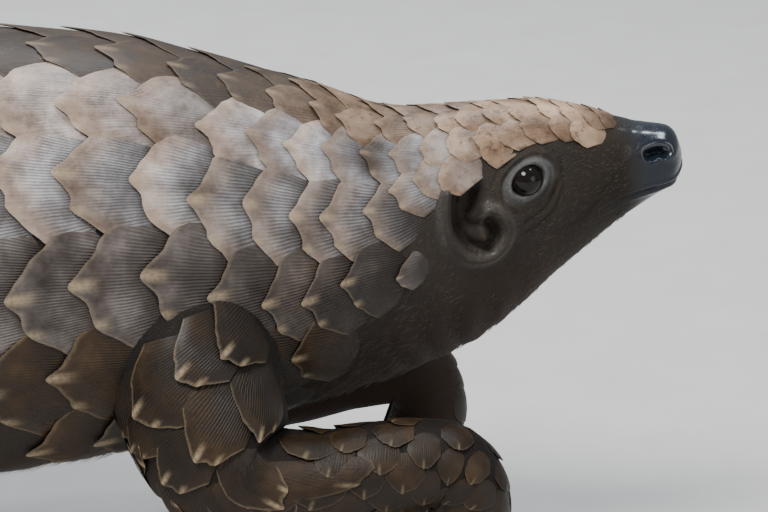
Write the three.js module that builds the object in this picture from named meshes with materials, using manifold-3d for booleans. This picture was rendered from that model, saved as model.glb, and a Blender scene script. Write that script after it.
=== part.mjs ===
// A young ground pangolin at life size, standing on its four feet with its broad tail laid along the floor.
// Millimetres, +Z up, head towards +X. A station is a distance from the nose tip back along the body.
// An angle round the body is measured in degrees from the middle of the back, over the right side.
import * as THREE from "three";
import { mergeVertices } from "three/addons/utils/BufferGeometryUtils.js";
import Module from "manifold-3d";

const wasm = await Module();
wasm.setup();

// Driving dimensions: the real length from nose to tail tip, and the real gap between two nodes that touch
const TOTAL_LENGTH = 750;
const NODE_GAP = 0.3;

// All that follows is drawn on an animal of this length, and the whole is brought to the real length at the end.
const DRAWN_LENGTH = 750;
const SIZE = TOTAL_LENGTH / DRAWN_LENGTH;
const GAP = NODE_GAP / SIZE;
const HEAD_END = 72; // stations where the body is parted
const NECK_END = 120;
const TAIL_ROOT = 395;
const TAIL_PARTS = [485, 575, 665];
const TAIL_BEND_START = 430;
const TAIL_TURN = 60; // degrees that the tail swings towards the animal's left

// Fineness of the meshes
const BODY_SIDES = 16;
const LIMB_SIDES = 10;
const CLAW_SIDES = 4;
const PATH_STEP = 5;

// Flesh of the body: station, half width, height of the top, of the widest level and of the underside
const BODY = [
  [0.6, 4, 135.5, 131, 126],
  [3, 7, 139, 131, 123],
  [6, 8.5, 140.7, 131, 121],
  [12, 9.5, 141.5, 131, 117],
  [22, 12, 143.5, 129, 109.5],
  [30, 14.5, 145.5, 128, 102.5],
  [39, 17, 147, 126, 94.5],
  [47, 19, 147.5, 124, 86.5],
  [61, 22, 146.5, 118, 75],
  [84, 29, 145, 108, 64.5],
  [114, 40, 153.5, 104, 55],
  [144, 49, 161, 102, 48],
  [171, 55, 166.5, 101, 41],
  [204, 59, 168.5, 100, 35.5],
  [250, 61, 171, 98, 33],
  [300, 59, 166, 94, 33],
  [350, 52, 149, 86, 37],
  [400, 45, 119, 73, 39],
  [450, 44, 86, 52, 22],
  [500, 43, 61, 34, 6],
  [550, 41, 47, 23, -1],
  [600, 38, 40, 18, -1],
  [650, 34, 34, 14.5, -1],
  [700, 27.5, 26.5, 11, -1],
  [730, 20.5, 19.5, 8, -1],
  [743, 13, 13, 5.5, -1],
  [749, 5, 7, 3, -1],
  [750, 2, 4, 2, -0.5],
];

// The pitch from one scale to the next along a row, and how far round the body the rows go
const SCALE_PITCH = [
  [20, 8.5],
  [60, 10],
  [110, 11.5],
  [125, 13.5],
  [140, 16],
  [160, 19],
  [190, 21],
  [230, 26],
  [430, 26],
  [500, 30],
  [750, 30],
];
const SCALE_REACH = [
  [20, 20],
  [35, 50],
  [50, 60],
  [70, 60],
  [77, 96],
  [95, 112],
  [105, 136],
  [120, 150],
  [215, 150],
  [230, 130],
  [430, 130],
];
// From each of these stations back: the rows' angles on each side, from the middle of the back down
const ROWS = [
  { from: 0, angles: [0, 21, 43, 68, 94, 121, 148] },
  { from: 505, angles: [0, 36, 72, 102] },
  { from: 690, angles: [0, 45, 88] },
];
// How far the scales of each row stand behind those of the middle row, as a share of the pitch
const ROW_PHASES = [0, 0.5, 0, 0, 0.35, 0.85, 0.4];
// The trunk rolls a little to the animal's left in its stride: degrees at each station
const SCALE_ROLL = [
  [125, 0],
  [170, 9],
  [300, 9],
  [390, 0],
];
const HEAD_SCALES_FROM = 21;
const TAIL_TIP_CLEAR = 8;

// Limbs of the left side: x, y, z and radius at each joint, from the body down
const FORE_LIMB = {
  leg: [
    [-146, 30, 88, 25],
    [-141, 42, 66, 23.5],
    [-130, 49, 47, 19.5],
    [-108, 50, 46, 15.5],
    [-88, 48, 50, 13.8],
    [-70, 46, 50, 12.4],
    [-64, 45.5, 40, 11.6],
  ],
  foot: [
    [-64, 45.5, 40, 11.6],
    [-67, 45.5, 26, 11.8],
    [-73, 45.5, 10.5, 12],
    [-85, 45.5, 7.5, 10],
  ],
  scales: { places: [0.12, 0.24, 0.36, 0.48, 0.6, 0.72, 0.84], width: 19, length: 20, lift: 3 },
};
const HIND_LIMB = {
  leg: [
    [-352, 30, 82, 27],
    [-347, 42, 62, 25],
    [-338, 48, 46, 20],
    [-336, 50, 30, 15],
    [-338, 50, 16, 12],
  ],
  foot: [
    [-352, 50, 10, 10.5],
    [-343, 50, 11, 14],
    [-328, 50, 11, 14.5],
    [-314, 50, 9.5, 12],
  ],
  scales: { places: [0.1, 0.26, 0.42, 0.56, 0.7], width: 23, length: 22, lift: 3.2 },
};
// The scales of a limb stand in rings that take these turns in degrees from its outer side, by turns
const LIMB_RINGS = [[0], [-42, 42]];
const LIMB_SCALE_DIRECTION = [-0.35, 0, -1]; // towards their tips: down and a little back
// How far each limb stands ahead of its drawn place
const FORE_SHIFT = { L: -11, R: 0 };
const HIND_SHIFT = { L: 22, R: 0 };

// Claws from the inner to the outer toe: length, radius at the root
const FORE_CLAWS = [
  [7, 1.5],
  [17, 2.2],
  [21, 2.5],
  [17, 2.2],
  [7, 1.5],
];
const HIND_CLAWS = [
  [6, 2],
  [8, 2.3],
  [9, 2.5],
  [8, 2.3],
  [6, 2],
];
const FORE_CLAW_SET = { claws: FORE_CLAWS, root: [-85, 45.5, 7.4], forward: -1, dip: 3, curl: 20, spacing: 4.3 };
const HIND_CLAW_SET = { claws: HIND_CLAWS, root: [-314, 50, 8], forward: 1, dip: 10, curl: 45, spacing: 5 };
const CLAW_FAN = 7; // degrees between two claws
const CLAW_ROOT_DEPTH = 3; // what the middle claw's root is sunk in the toe, and the outer ones a little more
const CLAW_OVAL = [0.8, 1.15]; // width and height of a claw's section over its radius

// Face: the eye and the ear are placed by station and height on the side of the head
const EYE = { station: 47.1, height: 128.4, radius: 4.3, depth: 1.5 };
const LID = { radius: 4.6, thickness: 1.2 };
const EAR_RIM = [
  [69, 127],
  [69.6, 120],
  [68.5, 111.5],
  [64.5, 106.5],
  [60, 105.4],
  [55.5, 107.6],
  [53, 112.5],
  [54.5, 118],
  [58.8, 120.4],
  [62.4, 117.6],
];
const EAR_RIM_RADIUS = 1.8;
const EAR_HOLLOWS = [
  { station: 61, height: 112.6, size: [4.4, 2.6, 4.6] },
  { station: 63.5, height: 125.4, size: [4, 2.4, 3.4] },
];
const NOSTRIL = { station: 8, height: 134.6, size: [3.3, 1.8, 1.5] };
const MOUTH = [
  [25, 121],
  [19, 121],
  [12, 128],
  [5, 138],
  [2, 152],
  [1.3, 180],
];
const LIP_RADIUS = 1.1;
const MOUTH_LINE_RADIUS = 0.45;

// Vectors and curves
const vec = (x = 0, y = 0, z = 0) => new THREE.Vector3(x, y, z);
const UP = vec(0, 0, 1);
const rad = THREE.MathUtils.degToRad;
const mix = THREE.MathUtils.lerp;
const cross = (a, b) => vec().crossVectors(a, b);
const spread = (from, to, count) => Array.from({ length: count + 1 }, (_, i) => mix(from, to, i / count));

// A smooth curve through the rows of a table: the first column is where, another one is the value.
function tableCurve(rows, column = 1) {
  const x = rows.map((r) => r[0]);
  const y = rows.map((r) => r[column]);
  const last = x.length - 1;
  const chord = x.slice(1).map((v, i) => (y[i + 1] - y[i]) / (v - x[i]));
  const slope = x.map((_, i) => {
    if (i === 0 || i === last) return chord[Math.min(i, last - 1)];
    const product = chord[i - 1] * chord[i];
    return product <= 0 ? 0 : (2 * product) / (chord[i - 1] + chord[i]);
  });
  return (at) => {
    const here = THREE.MathUtils.clamp(at, x[0], x[last]);
    let i = 0;
    while (i < last - 1 && here > x[i + 1]) i += 1;
    const h = x[i + 1] - x[i];
    const t = (here - x[i]) / h;
    const between = y[i] * (1 + 2 * t) * (1 - t) ** 2 + y[i + 1] * t * t * (3 - 2 * t);
    return between + h * (slope[i] * t * (1 - t) ** 2 + slope[i + 1] * t * t * (t - 1));
  };
}

// The body's path over the floor: straight to the tail, which then bends smoothly.
function heading(station) {
  const turn = rad(TAIL_TURN) * THREE.MathUtils.smoothstep(station, TAIL_BEND_START, DRAWN_LENGTH);
  return vec(-Math.cos(turn), Math.sin(turn), 0);
}
const PATH = [vec()];
for (let s = 0; s < DRAWN_LENGTH; s += PATH_STEP)
  PATH.push(PATH.at(-1).clone().addScaledVector(heading(s + PATH_STEP / 2), PATH_STEP));
function pathPoint(station) {
  const i = THREE.MathUtils.clamp(Math.floor(station / PATH_STEP), 0, PATH.length - 2);
  return PATH[i].clone().addScaledVector(heading(station), station - i * PATH_STEP);
}

// Surfaces: each is a function of (along, angle) that gives a point of the skin, swollen by grow.
const [bodyWidth, bodyTop, bodyWide, bodyFloor] = [1, 2, 3, 4].map((column) => tableCurve(BODY, column));

function bodySurface(grow = 0) {
  return (station, angle) => {
    const right = cross(UP, heading(station));
    const wide = bodyWide(station);
    const tall = Math.cos(angle) > 0 ? bodyTop(station) - wide : wide - bodyFloor(station);
    return pathPoint(station)
      .addScaledVector(right, (bodyWidth(station) + grow) * Math.sin(angle))
      .setZ(wide + (tall + grow) * Math.cos(angle));
  };
}

function limbSurface(joints, mirror, shift, grow = 0) {
  const points = joints.map(([x, y, z]) => vec(x + shift, mirror * y, z));
  const curve = new THREE.CatmullRomCurve3(points, false, "centripetal");
  const radius = tableCurve(joints.map((joint, i) => [i / (joints.length - 1), joint[3]]));
  return (along, angle) => {
    const forward = curve.getTangent(along);
    const outward = vec(0, mirror, 0);
    outward.addScaledVector(forward, -outward.dot(forward)).normalize();
    const front = cross(outward, forward);
    const r = radius(along) + grow;
    return curve
      .getPoint(along)
      .addScaledVector(outward, r * Math.cos(angle))
      .addScaledVector(front, r * Math.sin(angle));
  };
}

// The steps along and round a surface at a place, and its outward normal
const TURN_STEP = 0.01;
function tangents(surface, along, angle, step) {
  const back = surface(along + step, angle).sub(surface(along - step, angle));
  const round = surface(along, angle + TURN_STEP).sub(surface(along, angle - TURN_STEP));
  return { back, round, normal: cross(back, round).normalize() };
}

// The angle at which the side of the head has a height
function angleAtHeight(station, height) {
  const wide = bodyWide(station);
  const tall = height > wide ? bodyTop(station) - wide : wide - bodyFloor(station);
  return Math.acos(THREE.MathUtils.clamp((height - wide) / tall, -1, 1));
}

// Closed meshes become solids, and solids become meshes.
function solidOfTriangles(points, faces) {
  const made = new wasm.Manifold(
    new wasm.Mesh({
      numProp: 3,
      vertProperties: new Float32Array(points.flatMap((p) => [p.x, p.y, p.z])),
      triVerts: new Uint32Array(faces.flat()),
    }),
  );
  if (made.volume() > 0) return made;
  return solidOfTriangles(points, faces.map(([a, b, c]) => [a, c, b]));
}

const MERGE = 1e-4;
function solidOfGeometry(geometry, matrix = new THREE.Matrix4()) {
  const bare = geometry.clone().applyMatrix4(matrix);
  bare.deleteAttribute("normal");
  bare.deleteAttribute("uv");
  const merged = mergeVertices(bare, MERGE);
  const place = merged.attributes.position;
  const points = Array.from({ length: place.count }, (_, i) => vec().fromBufferAttribute(place, i));
  const index = Array.from(merged.index.array);
  const faces = Array.from({ length: index.length / 3 }, (_, i) => index.slice(3 * i, 3 * i + 3));
  return solidOfTriangles(points, faces.filter(([a, b, c]) => a !== b && b !== c && c !== a));
}

function joined(solids) {
  let level = solids;
  while (level.length > 1) {
    const next = [];
    for (let i = 0; i < level.length; i += 2)
      next.push(i + 1 < level.length ? level[i].add(level[i + 1]) : level[i]);
    level = next;
  }
  return level[0];
}

const largest = (solid) =>
  solid.decompose().reduce((best, piece) => (piece.volume() > best.volume() ? piece : best));

function meshOf(name, solid, material) {
  const kept = largest(solid).getMesh();
  const geometry = new THREE.BufferGeometry();
  geometry.setAttribute("position", new THREE.BufferAttribute(kept.vertProperties, 3));
  geometry.setIndex(new THREE.BufferAttribute(kept.triVerts, 1));
  geometry.computeVertexNormals();
  const mesh = new THREE.Mesh(geometry, material);
  mesh.name = name;
  return mesh;
}

// A closed tube over a surface, with a ring of points at each place along it and a cap at each end
function tube(surface, places, sides) {
  const points = [];
  for (const along of places)
    for (let i = 0; i < sides; i += 1) points.push(surface(along, (2 * Math.PI * i) / sides));
  const faces = [];
  for (let ring = 0; ring + 1 < places.length; ring += 1)
    for (let i = 0; i < sides; i += 1) {
      const [a, b] = [ring * sides + i, ring * sides + ((i + 1) % sides)];
      faces.push([a, b, b + sides], [a, b + sides, a + sides]);
    }
  const lastRing = (places.length - 1) * sides;
  for (const [start, turned] of [[0, true], [lastRing, false]]) {
    const middle = vec();
    for (let i = 0; i < sides; i += 1) middle.addScaledVector(points[start + i], 1 / sides);
    points.push(middle);
    for (let i = 0; i < sides; i += 1) {
      const [a, b] = [start + i, start + ((i + 1) % sides)];
      faces.push(turned ? [b, a, points.length - 1] : [a, b, points.length - 1]);
    }
  }
  return solidOfTriangles(points, faces);
}

// A round cord along a list of points, for rims and grooves
function cord(points, radius, sides, steps) {
  const outline = new THREE.Shape(
    spread(0, 2 * Math.PI, sides)
      .slice(0, sides)
      .map((turn) => new THREE.Vector2(radius * Math.cos(turn), radius * Math.sin(turn))),
  );
  const path = new THREE.CatmullRomCurve3(points, false, "centripetal");
  return solidOfGeometry(new THREE.ExtrudeGeometry(outline, { steps, extrudePath: path }));
}

// A ball stretched along the body, across it and upwards
function ball(centre, size, detail) {
  const matrix = new THREE.Matrix4().makeScale(...size).setPosition(centre);
  return solidOfGeometry(new THREE.IcosahedronGeometry(1, detail), matrix);
}

// A block that holds all on one side of a plane
const BLOCK = 2000;
function block(on, forward) {
  const matrix = new THREE.Matrix4().lookAt(forward, vec(), Math.abs(forward.z) > 0.5 ? vec(1, 0, 0) : UP);
  matrix.setPosition(on.clone().addScaledVector(forward, BLOCK / 2));
  return solidOfGeometry(new THREE.BoxGeometry(BLOCK, BLOCK, BLOCK), matrix);
}
const underFloor = block(vec(), vec(0, 0, -1));
const onFloor = (solid) => solid.subtract(underFloor);

// Seeded draws, so that the same animal is made each time
let seed = 20261;
function draw() {
  seed = (seed * 16807) % 2147483647;
  return seed / 2147483647;
}
const vary = (share) => 1 + share * (2 * draw() - 1);

// Scales
// One scale is a wedge: its root and keel are sunk in the skin, its pointed rear rim stands proud. Each point is
// [across as a share of the width, back as a share of the length, height as a share of the lift].
const RIM = [
  [0, -0.05, -0.4],
  [-0.52, 0.6, 0.45],
  [0, 1, 1],
  [0.52, 0.6, 0.45],
];
const RIDGE = [0, 0.62, 0.95];
const KEEL = [0, 0.2, -0.6];

// It points along the surface, or as near as the surface allows to a direction in space.
function scalePoints(surface, at, size, direction) {
  const { back, round } = tangents(surface, at.along, at.angle, at.step);
  const alongPerMm = (2 * at.step) / back.length();
  const anglePerMm = (2 * TURN_STEP) / round.length();
  const turn = direction ? Math.atan2(direction.dot(round.normalize()), direction.dot(back.normalize())) : 0;
  return [...RIM, RIDGE, KEEL].map(([across, length, height]) => {
    const [side, rear] = [across * size.width, length * size.length];
    const along = at.along + (rear * Math.cos(turn) - side * Math.sin(turn)) * alongPerMm;
    const angle = at.angle + (side * Math.cos(turn) + rear * Math.sin(turn)) * anglePerMm;
    const { normal } = tangents(surface, along, angle, at.step);
    return surface(along, angle).addScaledVector(normal, height * size.lift);
  });
}

function scaleSolid(points) {
  const [ridge, keel] = [RIM.length, RIM.length + 1];
  const faces = RIM.flatMap((_, i) => {
    const next = (i + 1) % RIM.length;
    return [[i, next, ridge], [next, i, keel]];
  });
  return solidOfTriangles(points, faces);
}

const pitchAt = tableCurve(SCALE_PITCH);
const reachAt = tableCurve(SCALE_REACH);
const rollAt = tableCurve(SCALE_ROLL);
const SCALE_OVERLAP = 1.4; // length of a scale over the pitch
const SCALE_COVER = 1.06; // width of a scale over the distance between rows
const PLACE_SHARE = 0.06; // how far a scale strays, as a share of the pitch or the row angle
const SIZE_SHARES = { width: 0.05, length: 0.06, lift: 0.12 }; // how much a scale's sizes vary
const liftFor = (pitch) => 1 + 0.13 * pitch;

function bodyScale(surface, s, row, angles) {
  const pitch = pitchAt(s);
  const number = Math.abs(row);
  const rowAngle = angles[1] - angles[0];
  const along = s + pitch * (ROW_PHASES[number] + vary(PLACE_SHARE) - 1);
  const angle = rad(Math.sign(row) * angles[number] - rollAt(along) + rowAngle * (vary(PLACE_SHARE) - 1));
  const half = rad(rowAngle) / 2;
  const rowWidth = surface(along, angle + half).distanceTo(surface(along, angle - half));
  const size = {
    width: rowWidth * SCALE_COVER * vary(SIZE_SHARES.width),
    length: Math.min(pitch * SCALE_OVERLAP * vary(SIZE_SHARES.length), DRAWN_LENGTH - along - 2),
    lift: liftFor(pitch) * vary(SIZE_SHARES.lift),
  };
  if (angles[number] > reachAt(along)) return [];
  return [scaleSolid(scalePoints(surface, { along, angle, step: 1 }, size))];
}

function bodyScales() {
  const surface = bodySurface();
  const made = [];
  for (let s = HEAD_SCALES_FROM; s < DRAWN_LENGTH - TAIL_TIP_CLEAR; s += pitchAt(s)) {
    const { angles } = ROWS.findLast((rows) => rows.from <= s);
    for (let row = 1 - angles.length; row < angles.length; row += 1)
      made.push(...bodyScale(surface, s, row, angles));
  }
  return made;
}

// Scales in rings round the outer side of a limb, left out where they would reach the body
const BODY_CLEAR = 6;
function nearBody(point) {
  const wide = bodyWide(-point.x);
  const tall = point.z > wide ? bodyTop(-point.x) - wide : wide - bodyFloor(-point.x);
  return Math.hypot(point.y / (bodyWidth(-point.x) + BODY_CLEAR), (point.z - wide) / (tall + BODY_CLEAR)) < 1;
}

function limbScales(surface, { places, width, length, lift }) {
  const made = [];
  places.forEach((along, ring) => {
    for (const turn of LIMB_RINGS[ring % LIMB_RINGS.length]) {
      const at = { along, angle: rad(turn), step: 0.01 };
      const size = {
        width: width * vary(SIZE_SHARES.width),
        length: length * vary(SIZE_SHARES.length),
        lift: lift * vary(SIZE_SHARES.lift),
      };
      const points = scalePoints(surface, at, size, vec(...LIMB_SCALE_DIRECTION));
      if (!points.some(nearBody)) made.push(scaleSolid(points));
    }
  });
  return made;
}

// Body
const bodyRings = [
  ...[0.6, 1.6, 3, 6, 9, 13, 18, 24, 31, 39, 47, 54, 61, 70, 80],
  ...spread(92, 396, 14),
  ...spread(412, 730, 14),
  ...[738, 744, 748, 750],
];
const bodyCore = (grow = 0) => tube(bodySurface(grow), bodyRings, BODY_SIDES);

function bodyLength(solid, from, to) {
  const ahead = heading(from).negate();
  const behind = heading(to);
  return solid
    .subtract(block(pathPoint(from).addScaledVector(ahead, -GAP / 2), ahead))
    .subtract(block(pathPoint(to).addScaledVector(behind, -GAP / 2), behind));
}

// Limbs
const ROOT_SKIN = 0.1; // what stays of a body scale's root under a limb
const FOOT_CLEAR = 2 * GAP; // between a foot and the leg's scales and claws that meet it

function legSolid(limb, mirror, shift, grow) {
  const surface = limbSurface(limb.leg, mirror, shift, grow);
  return tube(surface, spread(0, 1, limb.leg.length + 2), LIMB_SIDES);
}

function footSolid(limb, mirror, shift, grow) {
  const surface = limbSurface(limb.foot, mirror, shift, grow);
  const start = limb.foot[0];
  const length = Math.hypot(...limb.foot[1].slice(0, 3).map((v, i) => v - start[i]));
  const gap = GAP / length / (limb.foot.length - 1);
  return tube(surface, spread(gap, 1, 5), LIMB_SIDES);
}

// A claw starts inside the toe and bends down to its point.
const CLAW_STATIONS = [0, 0.4, 0.75, 1];
const CLAW_TAPER = [1, 0.85, 0.55, 0.12];
function clawSolid(root, yaw, dip, curl, length, radius) {
  const direction = (t) => {
    const fall = rad(dip + curl * t);
    return vec(Math.cos(yaw) * Math.cos(fall), Math.sin(yaw) * Math.cos(fall), -Math.sin(fall));
  };
  const centres = [root.clone()];
  for (let i = 1; i < CLAW_STATIONS.length; i += 1) {
    const [t0, t1] = [CLAW_STATIONS[i - 1], CLAW_STATIONS[i]];
    centres.push(centres.at(-1).clone().addScaledVector(direction((t0 + t1) / 2), length * (t1 - t0)));
  }
  const surface = (i, angle) => {
    const forward = direction(CLAW_STATIONS[i]);
    const side = cross(forward, UP).normalize();
    const r = radius * CLAW_TAPER[i];
    return centres[i]
      .clone()
      .addScaledVector(side, r * CLAW_OVAL[0] * Math.cos(angle))
      .addScaledVector(cross(side, forward), r * CLAW_OVAL[1] * Math.sin(angle));
  };
  return tube(surface, CLAW_STATIONS.map((_, i) => i), CLAW_SIDES);
}

function clawSolids({ claws, root, forward, dip, curl, spacing }, mirror, shift) {
  return claws.map(([length, radius], i) => {
    const place = i - (claws.length - 1) / 2;
    const sunk = CLAW_ROOT_DEPTH + Math.abs(place);
    const start = vec(root[0] + shift - forward * sunk, mirror * (root[1] + place * spacing), root[2]);
    const yaw = (forward > 0 ? 0 : Math.PI) + forward * mirror * place * rad(CLAW_FAN);
    return clawSolid(start, yaw, dip, curl, length + sunk, radius);
  });
}

// Face
const headSkin = bodySurface();
const onHead = (side) => ([station, height]) => headSkin(station, side * angleAtHeight(station, height));

function eyeSolid(side, grow = 0) {
  const angle = side * angleAtHeight(EYE.station, EYE.height);
  const { normal } = tangents(headSkin, EYE.station, angle, 1);
  const centre = headSkin(EYE.station, angle).addScaledVector(normal, -EYE.depth);
  return ball(centre, Array(3).fill(EYE.radius + grow), 1);
}

function lidSolid(side) {
  const angle = side * angleAtHeight(EYE.station, EYE.height);
  const { normal } = tangents(headSkin, EYE.station, angle, 1);
  const place = headSkin(EYE.station, angle);
  const matrix = new THREE.Matrix4().lookAt(normal, vec(), UP).setPosition(place);
  return solidOfGeometry(new THREE.TorusGeometry(LID.radius, LID.thickness, 4, 10), matrix);
}

const earRim = (side, grow = 0) => cord(EAR_RIM.map(onHead(side)), EAR_RIM_RADIUS + grow, 6, 14);
const hollow = ({ station, height, size }, side) => ball(onHead(side)([station, height]), size, 0);

function mouthPoints() {
  const right = MOUTH.map(([station, angle]) => headSkin(station, rad(angle)));
  const left = right.slice(0, -1).map((p) => vec(p.x, -p.y, p.z));
  return [...right, ...left.reverse()];
}

const SIDES = [
  ["R", 1],
  ["L", -1],
];

function headSolid(cut) {
  let head = cut.add(cord(mouthPoints(), LIP_RADIUS, 5, 12));
  head = head.subtract(cord(mouthPoints(), MOUTH_LINE_RADIUS, 4, 12));
  for (const [, side] of SIDES) {
    head = head.add(lidSolid(side)).subtract(eyeSolid(side, GAP)).subtract(hollow(NOSTRIL, side));
    for (const dent of EAR_HOLLOWS) head = head.subtract(hollow(dent, side));
  }
  return head;
}

// Materials
const finish = (color, roughness) =>
  new THREE.MeshStandardMaterial({ color, roughness, metalness: 0, flatShading: true });
const MATERIALS = {
  scale: finish(0x8d7056, 0.55),
  skin: finish(0x463a33, 0.75),
  claw: finish(0x6b5a48, 0.4),
  eye: finish(0x0c0c10, 0.08),
};

// Assembly
const pangolin = new THREE.Group();
const add = (name, solid, material) => pangolin.add(meshOf(name, solid, MATERIALS[material]));

const limbSets = [
  ["fore", FORE_LIMB, FORE_SHIFT, FORE_CLAW_SET],
  ["hind", HIND_LIMB, HIND_SHIFT, HIND_CLAW_SET],
];
const bodyClear = bodyCore(GAP + ROOT_SKIN);
const scaleRoots = bodyCore(ROOT_SKIN);
let bodySolid = joined([bodyCore(), ...bodyScales()]);

for (const [kind, limb, shifts, clawSet] of limbSets)
  for (const side of ["L", "R"]) {
    const mirror = side === "L" ? 1 : -1;
    const shift = shifts[side];
    const surface = limbSurface(limb.leg, mirror, shift);
    const leg = joined([legSolid(limb, mirror, shift), ...limbScales(surface, limb.scales)]);
    const footClear = footSolid(limb, mirror, shift, FOOT_CLEAR);
    add(kind + "leg_" + side, onFloor(leg.subtract(bodyClear).subtract(footClear)), "scale");
    add(kind + "foot_" + side, onFloor(footSolid(limb, mirror, shift)), "skin");
    clawSolids(clawSet, mirror, shift).forEach((claw, i) => {
      add(kind + "claw_" + side + (i + 1), claw.subtract(footClear), "claw");
    });
    bodySolid = bodySolid.subtract(legSolid(limb, mirror, shift, GAP).subtract(scaleRoots));
  }

bodySolid = onFloor(bodySolid);
const lengths = [
  ["head", -10, HEAD_END],
  ["neck", HEAD_END, NECK_END],
  ["torso", NECK_END, TAIL_ROOT],
];
[TAIL_ROOT, ...TAIL_PARTS].forEach((from, i) => {
  lengths.push(["tail_" + (i + 1), from, TAIL_PARTS[i] ?? DRAWN_LENGTH + 10]); // ends past the tip
});
for (const [name, from, to] of lengths) {
  const length = bodyLength(bodySolid, from, to);
  if (name === "head") add(name, headSolid(length), "skin");
  else add(name, length, "scale");
}
for (const [name, side] of SIDES) {
  add("eye_" + name, eyeSolid(side), "eye");
  add("ear_" + name, earRim(side).subtract(bodyClear), "skin");
}

// The real size, with the origin on the floor under the middle of the animal's box
pangolin.scale.setScalar(SIZE);
const box = new THREE.Box3().setFromObject(pangolin);
const middle = box.getCenter(vec());
pangolin.position.set(-middle.x, -middle.y, -box.min.z);

export default pangolin;
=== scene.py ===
"""A young ground pangolin at life size, as a museum shows it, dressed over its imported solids.

Shapes are drawn in millimetres in the animal's own frame: the nose tip over the origin, the head towards +X,
the floor at z = 0. A station is a distance from the nose tip back along the body. An angle round the body is
0 in the middle of the back and grows over the animal's right side. The named values are those of the solids.
to_frame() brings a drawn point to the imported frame, in metres.
"""

import math

import bpy
import numpy as np
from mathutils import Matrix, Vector


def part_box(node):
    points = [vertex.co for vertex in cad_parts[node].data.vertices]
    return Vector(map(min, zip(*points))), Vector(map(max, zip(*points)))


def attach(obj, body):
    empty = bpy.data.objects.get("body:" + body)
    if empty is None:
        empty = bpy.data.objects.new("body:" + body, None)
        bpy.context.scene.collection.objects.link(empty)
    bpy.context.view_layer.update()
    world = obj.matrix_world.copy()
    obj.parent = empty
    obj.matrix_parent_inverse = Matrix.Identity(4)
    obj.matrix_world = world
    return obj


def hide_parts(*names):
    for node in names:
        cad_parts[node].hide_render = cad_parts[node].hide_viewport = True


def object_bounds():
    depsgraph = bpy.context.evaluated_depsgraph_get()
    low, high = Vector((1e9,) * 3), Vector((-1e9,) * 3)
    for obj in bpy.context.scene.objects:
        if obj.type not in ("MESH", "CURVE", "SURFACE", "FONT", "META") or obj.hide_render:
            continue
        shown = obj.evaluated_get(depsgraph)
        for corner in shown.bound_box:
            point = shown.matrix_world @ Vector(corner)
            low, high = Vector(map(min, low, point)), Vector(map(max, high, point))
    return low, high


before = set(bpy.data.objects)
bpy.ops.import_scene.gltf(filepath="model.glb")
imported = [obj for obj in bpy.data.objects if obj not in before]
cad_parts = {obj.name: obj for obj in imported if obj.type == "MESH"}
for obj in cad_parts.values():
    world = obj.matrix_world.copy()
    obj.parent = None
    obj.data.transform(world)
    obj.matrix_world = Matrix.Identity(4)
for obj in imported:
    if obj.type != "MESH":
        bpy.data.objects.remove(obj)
CAD_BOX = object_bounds()
draw = np.random.default_rng(20261)

# Driving dimensions of the animal, as in the solids
TOTAL_LENGTH = 750
DRAWN_LENGTH = 750
METRES = TOTAL_LENGTH / DRAWN_LENGTH / 1000  # for each drawn millimetre
TAIL_BEND_START = 430
TAIL_TURN = 60  # degrees that the tail swings towards the animal's left
PATH_STEP = 5

# Flesh of the body: station, half width, height of the top, of the widest level and of the underside
BODY = [
    [0.6, 4, 135.5, 131, 126],
    [3, 7, 139, 131, 123],
    [6, 8.5, 140.7, 131, 121],
    [12, 9.5, 141.5, 131, 117],
    [22, 12, 143.5, 129, 109.5],
    [30, 14.5, 145.5, 128, 102.5],
    [39, 17, 147, 126, 94.5],
    [47, 19, 147.5, 124, 86.5],
    [61, 22, 146.5, 118, 75],
    [84, 29, 145, 108, 64.5],
    [114, 40, 153.5, 104, 55],
    [144, 49, 161, 102, 48],
    [171, 55, 166.5, 101, 41],
    [204, 59, 168.5, 100, 35.5],
    [250, 61, 171, 98, 33],
    [300, 59, 166, 94, 33],
    [350, 52, 149, 86, 37],
    [400, 45, 119, 73, 39],
    [450, 44, 86, 52, 22],
    [500, 43, 61, 34, 6],
    [550, 41, 47, 23, -1],
    [600, 38, 40, 18, -1],
    [650, 34, 34, 14.5, -1],
    [700, 27.5, 26.5, 11, -1],
    [730, 20.5, 19.5, 8, -1],
    [743, 13, 13, 5.5, -1],
    [749, 5, 7, 3, -1],
    [750, 2, 4, 2, -0.5],
]

# Limbs of the left side: x, y, z and radius at each joint, from the body down
FORE_LEG = [
    [-146, 30, 88, 25],
    [-141, 42, 66, 23.5],
    [-130, 49, 47, 19.5],
    [-108, 50, 46, 15.5],
    [-88, 48, 50, 13.8],
    [-70, 46, 50, 12.4],
    [-64, 45.5, 40, 11.6],
]
FORE_FOOT = [[-64, 45.5, 40, 11.6], [-67, 45.5, 26, 11.8], [-73, 45.5, 10.5, 12], [-85, 45.5, 7.5, 10]]
HIND_LEG = [
    [-352, 30, 82, 27],
    [-347, 42, 62, 25],
    [-338, 48, 46, 20],
    [-336, 50, 30, 15],
    [-338, 50, 16, 12],
]
HIND_FOOT = [[-352, 50, 10, 10.5], [-343, 50, 11, 14], [-328, 50, 11, 14.5], [-314, 50, 9.5, 12]]
LIMBS = {
    "fore": {"leg": FORE_LEG, "foot": FORE_FOOT, "shift": {"L": -11, "R": 0}},
    "hind": {"leg": HIND_LEG, "foot": HIND_FOOT, "shift": {"L": 22, "R": 0}},
}
MIRROR = {"L": 1, "R": -1}
LIMB_TUBES = {  # joints, rings, and whether the first and the last end are free
    "fore": [(FORE_LEG + FORE_FOOT[1:], 96, False, True)],
    "hind": [(HIND_LEG, 44, False, False), (HIND_FOOT, 40, True, True)],
}
LIMB_SIDES = 40
END_ROUND = 0.8  # radius of the rounding at a limb's free ends, as a share of the limb's radius
TOES = {"fore": {"radius": 2.9, "length": 9}, "hind": {"radius": 3.4, "length": 8}}
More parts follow.
